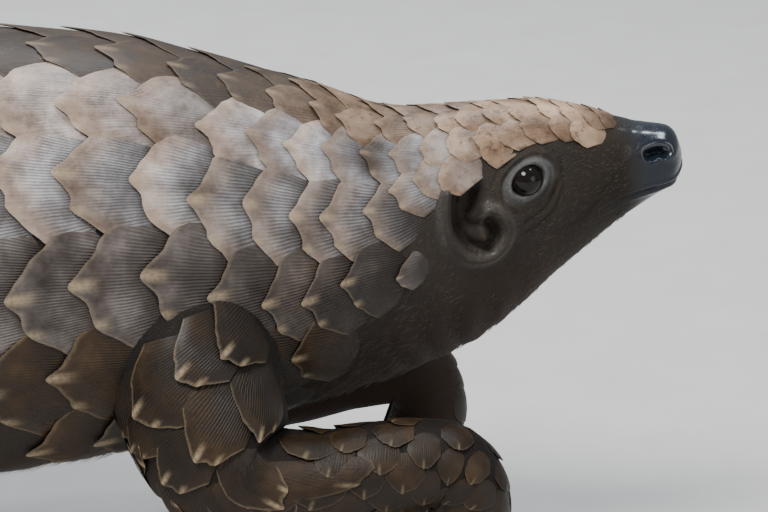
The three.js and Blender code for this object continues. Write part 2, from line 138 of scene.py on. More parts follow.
TOE_RINGS = 14
TOE_SIDES = 18

# Claws from the inner to the outer toe: length, radius at the root
CLAWS = {
    "fore": {
        "sizes": [[7, 1.5], [17, 2.2], [21, 2.5], [17, 2.2], [7, 1.5]],
        "root": [-85, 45.5, 7.4],
        "forward": -1,
        "dip": 3,
        "curl": 20,
        "spacing": 4.3,
    },
    "hind": {
        "sizes": [[6, 2], [8, 2.3], [9, 2.5], [8, 2.3], [6, 2]],
        "root": [-314, 50, 8],
        "forward": 1,
        "dip": 10,
        "curl": 45,
        "spacing": 5,
    },
}
CLAW_FAN = 7  # degrees from a claw to the next
CLAW_ROOT_DEPTH = 3  # in the toe
CLAW_OVAL = [0.8, 1.15]  # half width and half height over the radius
CLAW_TAPER = [[0, 1], [0.4, 0.85], [0.75, 0.55], [1, 0.12]]
CLAW_RINGS = 22
CLAW_SIDES = 20

# Face, by station and height on the side of the head
EYE = {"station": 47.1, "height": 128.4, "depth": 1.5}  # of the solid eye under the skin
EAR_RIM = [
    [71, 125],
    [71.4, 119],
    [69.6, 111],
    [65, 106],
    [60, 105.4],
    [55.5, 107.6],
    [53, 112.5],
    [54.5, 118],
    [58.8, 120.4],
    [62.4, 117.6],
]
EAR_TRENCH = [[67.4, 127], [67.9, 120], [66, 112.8], [61.8, 109], [57.6, 109.8], [56.3, 113.2], [58.2, 116.4]]
EAR_CUP = [[64, 125.5], [64.2, 121.5], [64.6, 116.5]]
EAR_KNOB = [60.5, 112.6]
EAR_RELIEF = {  # height and width
    "rim": (3.0, 1.615),
    "trench": (-3.2, 1.35),
    "cup": (-5.2, 3.4),
    "knob": (3.4, 1.6),
}
NOSTRIL = [[6.4, 134.3], [8.2, 134.6], [10.8, 133.7]]
MOUTH = [[25, 121], [19, 121], [12, 128], [5, 138], [2, 152], [1.3, 180]]  # station and angle
FOLDS = [  # soft creases of the face: depth in mm, width, then stations and heights
    (0.5, 0.9, [[54, 132.1], [51.3, 135], [43.5, 136]]),
    (0.45, 0.8, [[38.7, 127.6], [41.1, 120.7], [47.4, 115.9]]),
    (0.3, 0.8, [[36, 131], [37, 124], [41, 117], [47, 112.5]]),
    (0.3, 0.7, [[54.5, 125], [53.5, 121.5], [50.5, 118.5]]),
    (0.25, 0.7, [[26, 121], [30, 116.5], [36, 113]]),
    (0.25, 0.7, [[20, 132], [22, 126], [27, 122]]),
]
FACE_ENDS = (76, 82)  # the stations between which the relief of the face runs out
EYE_SLANT = 38  # degrees: the lids' corners are at the lower back and the upper front
EYE_STRETCH = 1.2
LID_EDGE = 4.5
EYE_PIT = 6  # depth of the skin behind the eyeball
CORNER_DEPTH = 1.3  # of the wet corners beside the eyeball
LID_RINGS = [  # round the lids' edge: height, what the upper half adds to it, distance from the edge, width
    (1.3, 0.195, 0.7, 0.85),
    (-0.6, 0, 2.4, 0.5),
    (0.5, 0.35, 3.7, 1.0),
    (-0.35, 0, 5.3, 0.6),
]
EYEBALL = {"radius": 5.2, "depth": 2.4}  # a little larger and deeper than the solid, under the lids
CORNEA = 0.3  # how far it bulges
EYE_GRID = (40, 56)  # rings and sides
NOSTRIL_RINGS = [(-3.4, 0, 1.35), (0.3, 3, 1.2)]  # height, distance from the slit, width
NOSTRIL_WING = (0.6, 2.3, 0.7)  # the same, under the slit
WING_HEIGHTS = (135.5, 132.5)  # from none of it to all of it
PAD_GROOVE = (-0.2, 16.5, 2)  # behind the nose pad: height, station, width
PAD_SLANT = 0.12  # how far the pad's edge shifts for each millimetre down
PAD_LEVEL = 131
PHILTRUM = (-0.5, 0.5)  # height, width
LIP_RINGS = [(-1.0, 0, 0.55), (0.55, 1.5, 0.9)]
THROAT_FOLD = 9  # from one soft fold of the throat to the next
THROAT_DEPTH = 0.4
NOSE_FRONT = 0.6  # the station of the solids' nose
NOSE_DOME = 3.8  # radius of the rounding there

# Rings of the trunk's skin, closer on the face, and the angles with closer sides
NOSE_RINGS = [0.6, 0.64, 0.75, 0.95, 1.25, 1.65, 2.1, 2.6, 3.1, 3.7, 4.3, 4.9]
BODY_RINGS = [(5.4, 20, 0.5), (20, 36, 0.8), (36, 72, 0.45), (72, 90, 1.2), (90, 400, 4), (400, 740, 5)]
TAIL_RINGS = [742, 745, 747.5, 749, 750]
FINE_ANGLES = (60, 138, 1.4)
SIDES_ABOVE = 20
SIDES_BELOW = 14

# Where the skin's looks change, as its material is told
SKIN_VALUES = ("nose", "lid", "wet", "hollow", "rim", "lips", "warm", "crown", "foot", "under", "gloss")

# Joins of the skin: how strongly and how often they are smoothed, and how near to both parts
JOIN_WEIGHT = 0.6
JOIN_ROUNDS = 12
JOIN_REACH = {"root": (4, 9), "ankle": (2, 5)}

# Scales: the pitch from one ring to the next, finer than in the solids, and how far round the rows go
SCALE_PITCH = [  # by the station of the tips
    [26, 5.6],
    [45, 7],
    [60, 7.6],
    [90, 9],
    [104, 10.5],
    [118, 11.5],
    [126, 12.5],
    [140, 16],
    [160, 18.5],
    [190, 20.5],
    [240, 22.5],
    [680, 21],
    [715, 14],
    [735, 9],
    [744, 4.5],
    [750, 2.2],
]
SCALE_REACH = [  # the furthest row, by the station of its tips
    [28, 22],
    [31, 44],
    [86, 45],
    [92, 69],
    [99, 70],
    [103, 95],
    [109, 96],
    [113, 122],
    [128, 123],
    [134, 150],
    [240, 150],
    [250, 130],
    [450, 130],
    [700, 130],
    [725, 165],
]
ROWS = [
    (0, [0, 21, 43, 68, 94, 121, 148]),
    (520, [0, 33, 64, 90, 114]),
    (712, [0, 36, 72, 108, 144]),
]
EAR_SCALES = [  # tip, angle, width and length of the scales round the ear, which stand out of the rows
    [62, 46, 13, 14],
    [74, 56, 13, 16],
    [82, 53, 14, 18],
    [89, 58, 17, 22],
    [88, 97, 12, 14],
]
ROW_PHASES = [0, 0.5, 0, 0, -0.25, 0.15, -0.3]
ROW_SQUEEZE = [[25, 0.95], [55, 0.9], [75, 0.9], [95, 1], [750, 1]]  # the head's rows stand closer
SCALE_ROLL = [[125, 0], [170, 9], [300, 9], [390, 0]]  # the trunk rolls a little in its stride
RING_ANCHOR = 165  # a ring of tips that the photo shows
HEAD_TIPS_FROM = 26
FIRST_ROOT = 19.5  # no scale has its root ahead of this station
TAIL_TIP_CLEAR = 0.3
SCALE_OVERLAP = 2.1  # length of a scale over the pitch
SCALE_COVER = 1.45  # width of a scale over the distance between rows
SCALE_LIFT = [[5, 1.1], [8, 1.5], [12, 2.1], [22.5, 3.3]]  # by the pitch
RIDGE_LIFT = 0.5  # share of it on the middle of the back
STRIA_SPACING = 0.9
PLACE_SPREAD = 0.025  # of a scale's tip, as a share of the pitch
SIZE_SPREAD = {"lift": 0.07, "width": 0.04, "length": 0.03}
TURN_SPREAD = 2.5  # degrees
RIM_THICKNESS = 0.12
LIFT_THICKNESS = 0.16  # what a scale is thicker at its rim for each millimetre of lift
UNDERSIDE = (0.965, 0.975)  # its width and length over those of the upper side
KEEL = (0.25, -0.55)  # the underside's middle point: how far back in lengths, and how high in lifts
ROOT_WIDTH = 0.6  # of the full width, from which the sides spread to the rear margin
PATCH_SHARE = 0.94  # of a scale's cell in the bake map
BODY_PIECES = [  # name, from station, to station, columns, rows
    ("scales_head", 0, 66, 17, 9),
    ("scales_neck", 66, 112, 23, 11),
    ("scales_shoulder", 112, 190, 31, 15),
    ("scales_trunk", 190, 290, 31, 15),
    ("scales_hip", 290, 410, 25, 13),
    ("scales_tail_root", 410, 560, 25, 13),
    ("scales_tail_tip", 560, 760, 23, 12),
]
LIMB_GRID = (19, 9)  # columns and rows of a limb's scale
SCALE_VALUES = ("tone", "brown_and_shade", "sandy", "dull_and_shaded", "stria", "lines", "cusp")  # what the horn is told of a scale

# Steps over which the directions of a surface are found: in mm along the body, in shares along a limb, and in
# radians round both
BODY_STEP = 0.5
LIMB_STEP = 0.01
TURN_STEP = 0.01

# Scales of the limbs: the joints that they follow, from where to where, and rows round the limb in degrees up
# from the outer side, for one ring and the next. By the share of the way: the step to the next ring with
# width, length and lift, and where tips point (ahead, out and up)
ROWS_ROUND_LEG = [[-80, -30, 20, 70, 120], [-105, -55, -5, 45, 95]]
LIMB_SCALES = {
    "fore_arm": {
        "joints": [[-150, 20, 108, 23]] + FORE_LEG,
        "range": [0.02, 0.46],
        "turns": [[-130, -80, -30, 20, 70, 120], [-105, -55, -5, 45, 95]],
        "sizes": [[0, 0.052, 24, 28, 2.3], [0.33, 0.048, 22, 26, 2.1], [0.46, 0.042, 16, 18, 1.4]],
        "towards": [[0, -1, 0, -0.45], [0.3, -1, 0, -0.65], [0.44, -0.5, 0.4, -1]],
    },
    "fore_leg": {
        "joints": FORE_LEG[1:] + FORE_FOOT[1:],
        "range": [0.1, 0.86],
        "turns": ROWS_ROUND_LEG,
        "sizes": [
            [0.1, 0.035, 15, 16, 1.2],
            [0.4, 0.034, 12.5, 13.5, 1.0],
            [0.6, 0.04, 11.5, 12.5, 0.9],
            [0.86, 0.036, 10.5, 11, 0.8],
        ],
        "towards": [
            [0.1, -0.4, 0.5, -1],
            [0.22, -0.25, 0.8, -1],
            [0.5, -0.1, 0.8, -1],
            [0.65, 0, 0.3, -1],
            [1, -0.4, 0.2, -1],
        ],
    },
    "hind_leg": {
        "joints": [[-356, 20, 104, 25]] + HIND_LEG,
        "range": [0.02, 0.9],
        "turns": ROWS_ROUND_LEG,
        "sizes": [
            [0, 0.07, 28, 29, 2.3],
            [0.4, 0.07, 25, 26, 2.0],
            [0.7, 0.06, 19, 19, 1.5],
            [1, 0.055, 15, 14, 1.1],
        ],
        "towards": [[0, -0.8, 0, -1], [0.5, -0.3, 0, -1], [1, 0, 0, -1]],
    },
    "hind_foot": {
        "joints": [[-364, 50, 10, 9]] + HIND_FOOT,
        "range": [0.46, 0.72],
        "turns": [[-40, 0, 45, 90, 135, 180], [-20, 22, 67, 112, 157]],
        "sizes": [[0, 0.085, 13, 14, 1.1], [1, 0.085, 11, 11, 0.9]],
        "towards": [[0, 1, 0, -0.4], [1, 1, 0, -0.4]],
    },
}
LARGE_SCALED = ("fore_arm", "hind_leg")  # with points and lines like those of the body
# The limbs' scales are brown and darkened: the brown is partly their own colour and partly painted shade, the
# darkening is painted shade
LIMB_LOOKS = {"point": 0.15, "stria": 0.15, "dull_and_shaded": 0.5, "brown_and_shade": 1, "sandy": 0}
LARGE_LOOKS = {"point": 0.75, "stria": 0.85}
BARE_FOLDS = {  # where a limb is folded and bare: shares and turns, from and to
    "fore_arm": [(0.25, 1, 45, 180)],
    "fore_leg": [(0, 0.24, 45, 180), (0.42, 0.8, -180, -50)],
}
TRUNK_CLEAR = 2.0  # how far a limb's scales reach out of the flesh of the trunk, past its own scales
SOLE_CLEAR = 4  # no tip of a limb's scale is lower
SUNK = (-1, -4)  # levels in an arm below which the middle and the tip of a trunk scale are hidden

# Sparse hair
HAIR_RADIUS = 0.04
HAIR_MIDDLE = 0.75  # of the radius at the root
HAIR_DEPTH = 0.15  # of its root under the skin
HAIRS_PER_TUFT = 3
HAIR_POINTS = 7
HAIR_PATCHES = {  # stations, angles in degrees from the back, tufts, length
    "hair_face": ((17, 78), (58, 180), 2400, 1.5),
    "hair_throat": ((78, 150), (100, 180), 1500, 3.6),
    "hair_belly": ((150, 400), (142, 180), 1500, 5.5),
}
TUFT_SPREAD = (0.25, 0.01)  # of its hairs, in mm back and in radians round
HAIR_SWAY = 0.35
HAIR_RISE = (0.2, 0.5)
HAIR_LENGTH_SPREAD = 0.2
HAIR_CLEAR = {"eye": 8, "ear": 3, "lips": 2}
PATCH_SIZE = 0.003  # of a tuft, on the unwrap of the skin

# Colours of the horn and the skin
DARK_HORN = (0.022, 0.014, 0.009)
# Brown of the lower sides and the limbs, its darkness partly painted shade; it also gives the streaks and the
# dirt
BROWN_HORN = [(0.3, (0.012, 0.006, 0.002)), (0.5, (0.028, 0.0138, 0.0038)), (0.72, (0.070, 0.038, 0.013))]
# Pale bluish grey of the upper sides: partly the horn's own grey, partly a painted wet sheen that reflects
# the sky
GREY_HORN_AND_SHEEN = [(0.3, (0.14, 0.126, 0.124)), (0.5, (0.345, 0.34, 0.36)), (0.72, (0.68, 0.70, 0.76))]
SANDY_HORN = [(0.3, (0.095, 0.055, 0.03)), (0.5, (0.26, 0.165, 0.105)), (0.72, (0.43, 0.31, 0.215))]
PALE_POINT = (0.42, 0.32, 0.20)
FACE_DARK = (0.0065, 0.0046, 0.003)
FACE_LIGHT = (0.026, 0.0165, 0.0095)
THROAT = (0.022, 0.0085, 0.0028)
NOSE = (0.008, 0.013, 0.022)
LID_GREY = (0.132, 0.135, 0.135)
EAR_BROWN = (0.125, 0.105, 0.092)
# Ear rim: a paler grey, partly its own colour and partly a painted highlight of its gloss
EAR_RIM_PALE_AND_HIGHLIGHT = (0.21, 0.195, 0.18)
HOLLOW_SHADE = (0.015, 0.0125, 0.0105)
HAIR_SHADES = [(0.0, (0.03, 0.022, 0.016)), (0.5, (0.10, 0.078, 0.058)), (1.0, (0.24, 0.20, 0.155))]
EYE_SHADES = [(0.3, (0.004, 0.004, 0.005)), (0.8, (0.016, 0.010, 0.008))]
CLAW_SHADES = [(0.3, (0.06, 0.045, 0.035)), (0.55, (0.17, 0.125, 0.09)), (0.8, (0.36, 0.29, 0.21))]
CLAW_GRAIN = (0.07, 0.05, 0.036)
FLOOR_SHADES = [(0.3, (0.56, 0.55, 0.53)), (0.7, (0.60, 0.59, 0.57))]

# Light, in metres and watts: name, place, what it points at, size, power and colour
LAMPS = [
    ("key", (-0.4, -0.9, 1.7), (0.1, 0, 0.1), 0.8, 44, (1.0, 0.97, 0.93)),
    ("top", (0.1, 0.7, 1.6), (0.1, 0, 0.1), 0.8, 26, (0.88, 0.94, 1.0)),
    ("fill", (1.6, -1.2, 0.7), (0.1, 0, 0.1), 1.2, 8, (1.0, 0.98, 0.95)),
    ("glint", (0.77, 0.03, 1.37), (0.35, 0, 0.13), 0.2, 2.5, (0.85, 0.92, 1.0)),
]
SKY = (0.82, 0.86, 0.92, 1)
SKY_STRENGTH = 0.32
FLOOR_HALF = 3.0
FLOOR_CLEAR = 0.15  # nothing of the animal is nearer to the floor, in mm
BOX_CLEAR = 0.0001  # nor to the sides of the solids' box, in metres

# Camera of the photo: it looks along +Y and down at the trunk's middle plane
CAMERA_AIM = [-89.1, 0, 100.1]
CAMERA_ELEVATION = 16
CAMERA_DISTANCE = 959
FIELD_WIDTH = 230.4
SENSOR_WIDTH = 36


# Curves and surfaces


def smooth(low, high, value):
    t = np.clip((value - low) / (high - low), 0, 1)
    return t * t * (3 - 2 * t)


def hump(distance, width):
    return np.exp(-((distance / width) ** 2))


def unit(vectors):
    return vectors / np.maximum(np.linalg.norm(vectors, axis=-1, keepdims=True), 1e-9)


def table_curve(rows, column=1):
    """A smooth curve through the rows of a table: the first column is where, another one is the value."""
    x = np.array([row[0] for row in rows], float)
    y = np.array([row[column] for row in rows], float)
    chord = np.diff(y) / np.diff(x)
    product = chord[:-1] * chord[1:]
    total = np.where(product > 0, chord[:-1] + chord[1:], 1)
    slope = np.concatenate([chord[:1], np.where(product > 0, 2 * product / total, 0), chord[-1:]])

    def value(at):
        here = np.clip(at, x[0], x[-1])
        i = np.clip(np.searchsorted(x, here, side="right") - 1, 0, len(x) - 2)
        h = x[i + 1] - x[i]
        t = (here - x[i]) / h
        between = y[i] * (1 + 2 * t) * (1 - t) ** 2 + y[i + 1] * t * t * (3 - 2 * t)
        return between + h * (slope[i] * t * (1 - t) ** 2 + slope[i + 1] * t * t * (t - 1))

    return value


body_width, body_top, body_wide, body_floor = (table_curve(BODY, column) for column in (1, 2, 3, 4))


def heading(station):
    turn = math.radians(TAIL_TURN) * smooth(TAIL_BEND_START, DRAWN_LENGTH, np.asarray(station, float))
    return np.stack([-np.cos(turn), np.sin(turn), 0 * turn], axis=-1)


PATH_STATIONS = np.arange(0, DRAWN_LENGTH, PATH_STEP)
PATH_MOVES = PATH_STEP * heading(PATH_STATIONS + PATH_STEP / 2)
PATH = np.concatenate([np.zeros((1, 3)), np.cumsum(PATH_MOVES, axis=0)])


def path_point(station):
    i = np.clip((station // PATH_STEP).astype(int), 0, len(PATH) - 2)
    return PATH[i] + heading(station) * (station - i * PATH_STEP)[..., None]


def half_height(station, above):
    """Height of the body's outline above its widest level, or below it"""
    wide = body_wide(station)
    return np.where(above, body_top(station) - wide, wide - body_floor(station))


def body_surface(station, angle):
    station, angle = np.broadcast_arrays(np.asarray(station, float), np.asarray(angle, float))
    ahead = heading(station)
    right = np.stack([-ahead[..., 1], ahead[..., 0], 0 * station], axis=-1)
    points = path_point(station) + right * (body_width(station) * np.sin(angle))[..., None]
    points[..., 2] = body_wide(station) + half_height(station, np.cos(angle) > 0) * np.cos(angle)
    return points


def centripetal_curve(joints):
    """A centripetal Catmull-Rom curve through the joints, as the solids have it."""
    points = np.array(joints, float)
    padded = np.concatenate([[2 * points[0] - points[1]], points, [2 * points[-1] - points[-2]]])
    steps = np.maximum(np.linalg.norm(np.diff(padded, axis=0), axis=1) ** 0.5, 1e-4)[:, None]
    p0, p1, p2, p3 = (padded[i : len(padded) - 3 + i] for i in range(4))
    d0, d1, d2 = (steps[i : len(steps) - 2 + i] for i in range(3))
    start = ((p1 - p0) / d0 - (p2 - p0) / (d0 + d1) + (p2 - p1) / d1) * d1
    end = ((p2 - p1) / d1 - (p3 - p1) / (d1 + d2) + (p3 - p2) / d2) * d1

    def point(along):
        place = np.clip(along, 0, 1) * (len(points) - 1)
        i = np.minimum(place.astype(int), len(points) - 2)
        t = (place - i)[..., None]
        cubic = 2 * p1[i] - 2 * p2[i] + start[i] + end[i]
        square = -3 * p1[i] + 3 * p2[i] - 2 * start[i] - end[i]
        return p1[i] + t * (start[i] + t * (square + t * cubic))

    return point


def circle(count):
    return np.linspace(0, 2 * math.pi, count, endpoint=False)


def spun(across, up, angle):
    """Directions round an axis, by their angle from one across it to another"""
    return across * np.cos(angle)[..., None] + up * np.sin(angle)[..., None]


def placed_joints(joints, side, shift):
    """Middles of a left limb's joints, where the limb of a side stands"""
    return np.array([[x + shift, MIRROR[side] * y, z] for x, y, z, _ in joints])


def limb_surface(joints, side, shift):
    mirror = MIRROR[side]
    curve = centripetal_curve(placed_joints(joints, side, shift))
    radius = table_curve([[i / (len(joints) - 1), joint[3]] for i, joint in enumerate(joints)])

    def surface(along, angle):
        along, angle = np.broadcast_arrays(np.asarray(along, float), np.asarray(angle, float))
        step = 1e-3
        forward = unit(curve(along + step) - curve(along - step))
        outward = unit(np.array([0.0, mirror, 0.0]) - forward * (forward[..., 1:2] * mirror))
        front = np.cross(outward, forward)
        return curve(along) + radius(along)[..., None] * spun(outward, front, angle)

    return surface


def tangents(surface, along, angle, step):
    back = surface(along + step, angle) - surface(along - step, angle)
    around = surface(along, angle + TURN_STEP) - surface(along, angle - TURN_STEP)
    return back, around, unit(np.cross(back, around))


def angle_at_height(station, height):
    """The angle at which the right side of the head has a height"""
    over = height - body_wide(station)
    return np.arccos(np.clip(over / half_height(station, over > 0), -1, 1))


def on_head(station, height):
    station, height = np.asarray(station, float), np.asarray(height, float)
    return body_surface(station, angle_at_height(station, height))


def eye_place():
    """The skin under the right eye's middle, with the directions forward, up and outward there"""
    station = np.array(EYE["station"])
    angle = angle_at_height(station, EYE["height"])
    _, around, normal = tangents(body_surface, station, angle, 1)
    up = unit(-around)
    return body_surface(station, angle), np.cross(up, normal), up, normal


# Place in the frame


def frame_offset():
    """Place of the drawn origin in the frame, which both eyes give"""
    skin, _, _, normal = eye_place()
    drawn = (skin - normal * EYE["depth"]) * METRES
    boxes = [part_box("eye_" + side) for side in "RL"]
    right, left = (np.mean(np.array([list(corner) for corner in box]), axis=0) for box in boxes)
    return np.array([right[0] - drawn[0], (right[1] + left[1]) / 2, 0.0])


OFFSET = frame_offset()


def to_frame(points):
    """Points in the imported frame, none below the floor or outside the solids' box"""
    points = np.array(points, float)
    points[..., 2] = np.maximum(points[..., 2], FLOOR_CLEAR)
    low, high = (np.array(corner, float) for corner in CAD_BOX)
    return np.clip(points * METRES + OFFSET, low + BOX_CLEAR, high - BOX_CLEAR)


def to_drawn(points):
    return (points - OFFSET) / METRES


# Meshes


def grid_faces(rings, sides, closed=True):
    """Quads of a grid of rings, closed round its sides or open"""
    ring, side = np.meshgrid(np.arange(rings - 1), np.arange(sides if closed else sides - 1), indexing="ij")
    a = (ring * sides + side).ravel()
    b = (ring * sides + (side + 1) % sides).ravel()
    return np.stack([a, b, b + sides, a + sides], axis=1)


def linked(name, data):
    """A new object of the scene"""
    made = bpy.data.objects.new(name, data)
    bpy.context.scene.collection.objects.link(made)
    return made


def make_object(name, points, face_sets, material=None, uvs=None, values=None):
    """A mesh object from points in drawn millimetres and arrays of faces, with UV maps and point values"""
    mesh = bpy.data.meshes.new(name)
    corners = np.concatenate([faces.ravel() for faces in face_sets]).astype(np.int32)
    sizes = np.concatenate([np.full(len(faces), faces.shape[1]) for faces in face_sets])
    starts = np.concatenate([[0], np.cumsum(sizes)[:-1]]).astype(np.int32)
    mesh.vertices.add(len(points))
    mesh.vertices.foreach_set("co", to_frame(points).astype(np.float32).ravel())
    mesh.loops.add(len(corners))
    mesh.loops.foreach_set("vertex_index", corners)
    mesh.polygons.add(len(sizes))
    mesh.polygons.foreach_set("loop_start", starts)
    for layer, coordinates in (uvs or {}).items():
        mesh.uv_layers.new(name=layer).data.foreach_set("uv", coordinates[corners].astype(np.float32).ravel())
    mesh.update(calc_edges=True)
    mesh.polygons.foreach_set("use_smooth", np.ones(len(sizes), bool))
    add_values(mesh, values or {})
    if material:
        mesh.materials.append(material)
    return linked(name, mesh)


def add_values(mesh, values):
    for key, numbers in values.items():
        layer = mesh.attributes.new(key, "FLOAT", "POINT")
        layer.data.foreach_set("value", np.asarray(numbers, np.float32))


def tube_object(name, points, material=None):
    """A closed tube from a grid of points, with a fan over each end"""
    rings, sides = points.shape[:2]
    middles = np.stack([points[0].mean(axis=0), points[-1].mean(axis=0)])
    side = np.arange(sides)
    after = (side + 1) % sides
    last = (rings - 1) * sides
    start = np.stack([after, side, np.full(sides, rings * sides)], axis=1)
    end = np.stack([last + side, last + after, np.full(sides, rings * sides + 1)], axis=1)
    flat = np.concatenate([points.reshape(-1, 3), middles])
    made = make_object(name, flat, [grid_faces(rings, sides), start, end], material)
    if signed_volume(made.data) < 0:
        made.data.flip_normals()
    return made


def read(items, key, width, kind=np.float32):
    """Values of a mesh's vertices, edges or triangles, a row for each"""
    values = np.empty(len(items) * width, kind)
    items.foreach_get(key, values)
    return values.reshape(-1, width)


def signed_volume(mesh):
    mesh.calc_loop_triangles()
    points = vertex_points(mesh)[read(mesh.loop_triangles, "vertices", 3, np.int32)]
    return np.einsum("ij,ij->i", points[:, 0], np.cross(points[:, 1], points[:, 2])).sum()


def vertex_points(mesh):
    return read(mesh.vertices, "co", 3).astype(float)


def united(name, parts):
    """One closed skin from overlapping closed parts"""
    base = parts[0]
    for part in parts[1:]:
        union = base.modifiers.new("union", "BOOLEAN")
        union.operation = "UNION"
        union.solver = "MANIFOLD"
        union.object = part
    graph = bpy.context.evaluated_depsgraph_get()
    mesh = bpy.data.meshes.new_from_object(base.evaluated_get(graph))
    for part in parts:
        bpy.data.objects.remove(part)
    mesh.name = name
    return linked(name, mesh)


def relaxed(points, edges, weights, rounds):
    """Each point is drawn to the middle of its neighbours, as far as its weight says."""
    for _ in range(rounds):
        total = np.zeros_like(points)
        count = np.zeros(len(points))
        for here, there in ((0, 1), (1, 0)):
            np.add.at(total, edges[:, here], points[edges[:, there]])
            np.add.at(count, edges[:, here], 1)
        middle = total / np.maximum(count, 1)[:, None]
        points = points + (middle - points) * weights[:, None]
    return points


# Skin


def line_distance(points, line):
    """Distance of each point from a line of points"""
    best = np.full(len(points), 1e9)
    for start, end in zip(line[:-1], line[1:]):
        along = end - start
        share = np.clip((points - start) @ along / max(along @ along, 1e-9), 0, 1)
        best = np.minimum(best, np.linalg.norm(points - start - share[:, None] * along, axis=1))
    return best


def curved(rows, steps=6):
    """A smooth line through rows of station and height, on the right side of the head"""
    places = np.linspace(0, 1, (len(rows) - 1) * steps + 1)
    line = centripetal_curve([[station, height, 0] for station, height in rows])(places)
    return on_head(line[:, 0], line[:, 1])


def folded_right(points):
    """Points of both sides brought to the right side, where the face is described"""
    right = points.copy()
    right[:, 1] = -np.abs(right[:, 1])
    return right


def eye_distance(points):
    """Of points on the right side: distance from the eye's middle, stretched as the lids are, how far up they
    are, and the distance as it is"""
    middle, forward, up, _ = eye_place()
    away = points - middle
    a, b = away @ forward, away @ up
    slant = math.radians(EYE_SLANT)
    lengthways = a * math.cos(slant) + b * math.sin(slant)
    crossways = b * math.cos(slant) - a * math.sin(slant)
    return np.hypot(lengthways / EYE_STRETCH, crossways * EYE_STRETCH), b, np.hypot(a, b)


def rings_of_relief(distance, rings):
    """Sum of ridges and grooves that run round something: height, distance and width of each"""
    return sum(height * hump(distance - at, width) for height, at, width in rings)


def eye_relief(points):
    r, b, plain = eye_distance(points)
    upper = b / np.maximum(r, 1)
    depth = CORNER_DEPTH + (EYE_PIT - CORNER_DEPTH) * (1 - smooth(4.1, 5.1, plain))
    pit = -depth * (1 - smooth(LID_EDGE - 0.6, LID_EDGE, r))
    for height, more, at, width in LID_RINGS:
        pit += (height + more * upper) * hump(r - LID_EDGE - at, width)
    return pit


def ear_relief(points):
    """A thick rim like a C round a deep hollow, with a knob in the lower part of it"""
    away = {
        "rim": line_distance(points, curved(EAR_RIM)),
        "trench": line_distance(points, curved(EAR_TRENCH)),
        "cup": line_distance(points, curved(EAR_CUP)),
        "knob": np.linalg.norm(points - on_head(*EAR_KNOB), axis=1),
    }
    return sum(height * hump(away[part], width) for part, (height, width) in EAR_RELIEF.items())


def mouth_line():
    rows = np.array(MOUTH, float)
    return body_surface(rows[:, 0], np.radians(rows[:, 1]))


def pad_station(points):
    """Station of a point, less the lower it is, as the edge of the nose pad slants"""
    return -points[:, 0] - PAD_SLANT * (PAD_LEVEL - points[:, 2])


def nose_relief(points):
    slit = line_distance(points, curved(NOSTRIL))
    wing = rings_of_relief(slit, [NOSTRIL_WING]) * smooth(*WING_HEIGHTS, points[:, 2])
    pad = rings_of_relief(pad_station(points), [PAD_GROOVE])
    in_front = (1 - smooth(3, 6, -points[:, 0])) * (points[:, 2] < 133)
    philtrum = PHILTRUM[0] * hump(points[:, 1], PHILTRUM[1]) * in_front
    return rings_of_relief(slit, NOSTRIL_RINGS) + wing + pad + philtrum


def mouth_relief(points):
    return rings_of_relief(line_distance(points, mouth_line()), LIP_RINGS)


def face_relief(points, station):
    right = folded_right(points)
    height = eye_relief(right) + ear_relief(right) + nose_relief(right) + mouth_relief(right)
    for depth, width, rows in FOLDS:
        away = line_distance(right, curved(rows))
        height += depth * (0.6 * hump(away - 1.6 * width, width) - hump(away, width * 0.7))
    return height * (1 - smooth(*FACE_ENDS, station))


def throat_relief(station, angle):
    """Soft folds of the loose throat, across the neck"""
    from_back = np.abs((angle + math.pi) % (2 * math.pi) - math.pi)
    below = smooth(math.radians(105), math.radians(150), from_back)
    along = smooth(45, 60, station) * (1 - smooth(105, 125, station))
    wander = 4 * np.sin(3 * angle) + 2 * np.sin(7 * angle + station / 11)
    return THROAT_DEPTH * below * along * np.sin(2 * math.pi * (station + wander) / THROAT_FOLD)


def body_tube():
    stations = np.concatenate([NOSE_RINGS, *(np.arange(*span) for span in BODY_RINGS), TAIL_RINGS])
    fine = np.radians(np.arange(*FINE_ANGLES))
    above = np.linspace(0, fine[0], SIDES_ABOVE, endpoint=False)
    below = np.linspace(fine[-1], math.pi, SIDES_BELOW, endpoint=False)[1:]
    half = np.concatenate([above, fine, below])
    angles = np.concatenate([half, [math.pi], -half[:0:-1]])
    station, angle = np.meshgrid(stations, angles, indexing="ij")
    points = body_surface(station, angle)
    normals = tangents(body_surface, station, angle, 0.3)[2]
    flat_station = station.ravel()
    height = throat_relief(station, angle).ravel()
    head = flat_station < FACE_ENDS[1] + 2
    height[head] += face_relief(points.reshape(-1, 3)[head], flat_station[head])
    moved = points.reshape(-1, 3) + normals.reshape(-1, 3) * height[:, None]
    return tube_object("body", domed(moved, flat_station).reshape(points.shape))


def domed(points, station):
    """The rings of the nose drawn together, so that it ends round"""
    middle = points * [1, 0, 0]
    middle[:, 2] = (body_top(station) + body_floor(station)) / 2
    ahead = np.clip(NOSE_DOME - (station - NOSE_FRONT), 0, NOSE_DOME)
    drop = NOSE_DOME - np.sqrt(NOSE_DOME**2 - ahead**2)
    away = points - middle
    share = np.minimum(drop / np.linalg.norm(away, axis=1), 0.97)
    return middle + away * (1 - share)[:, None]


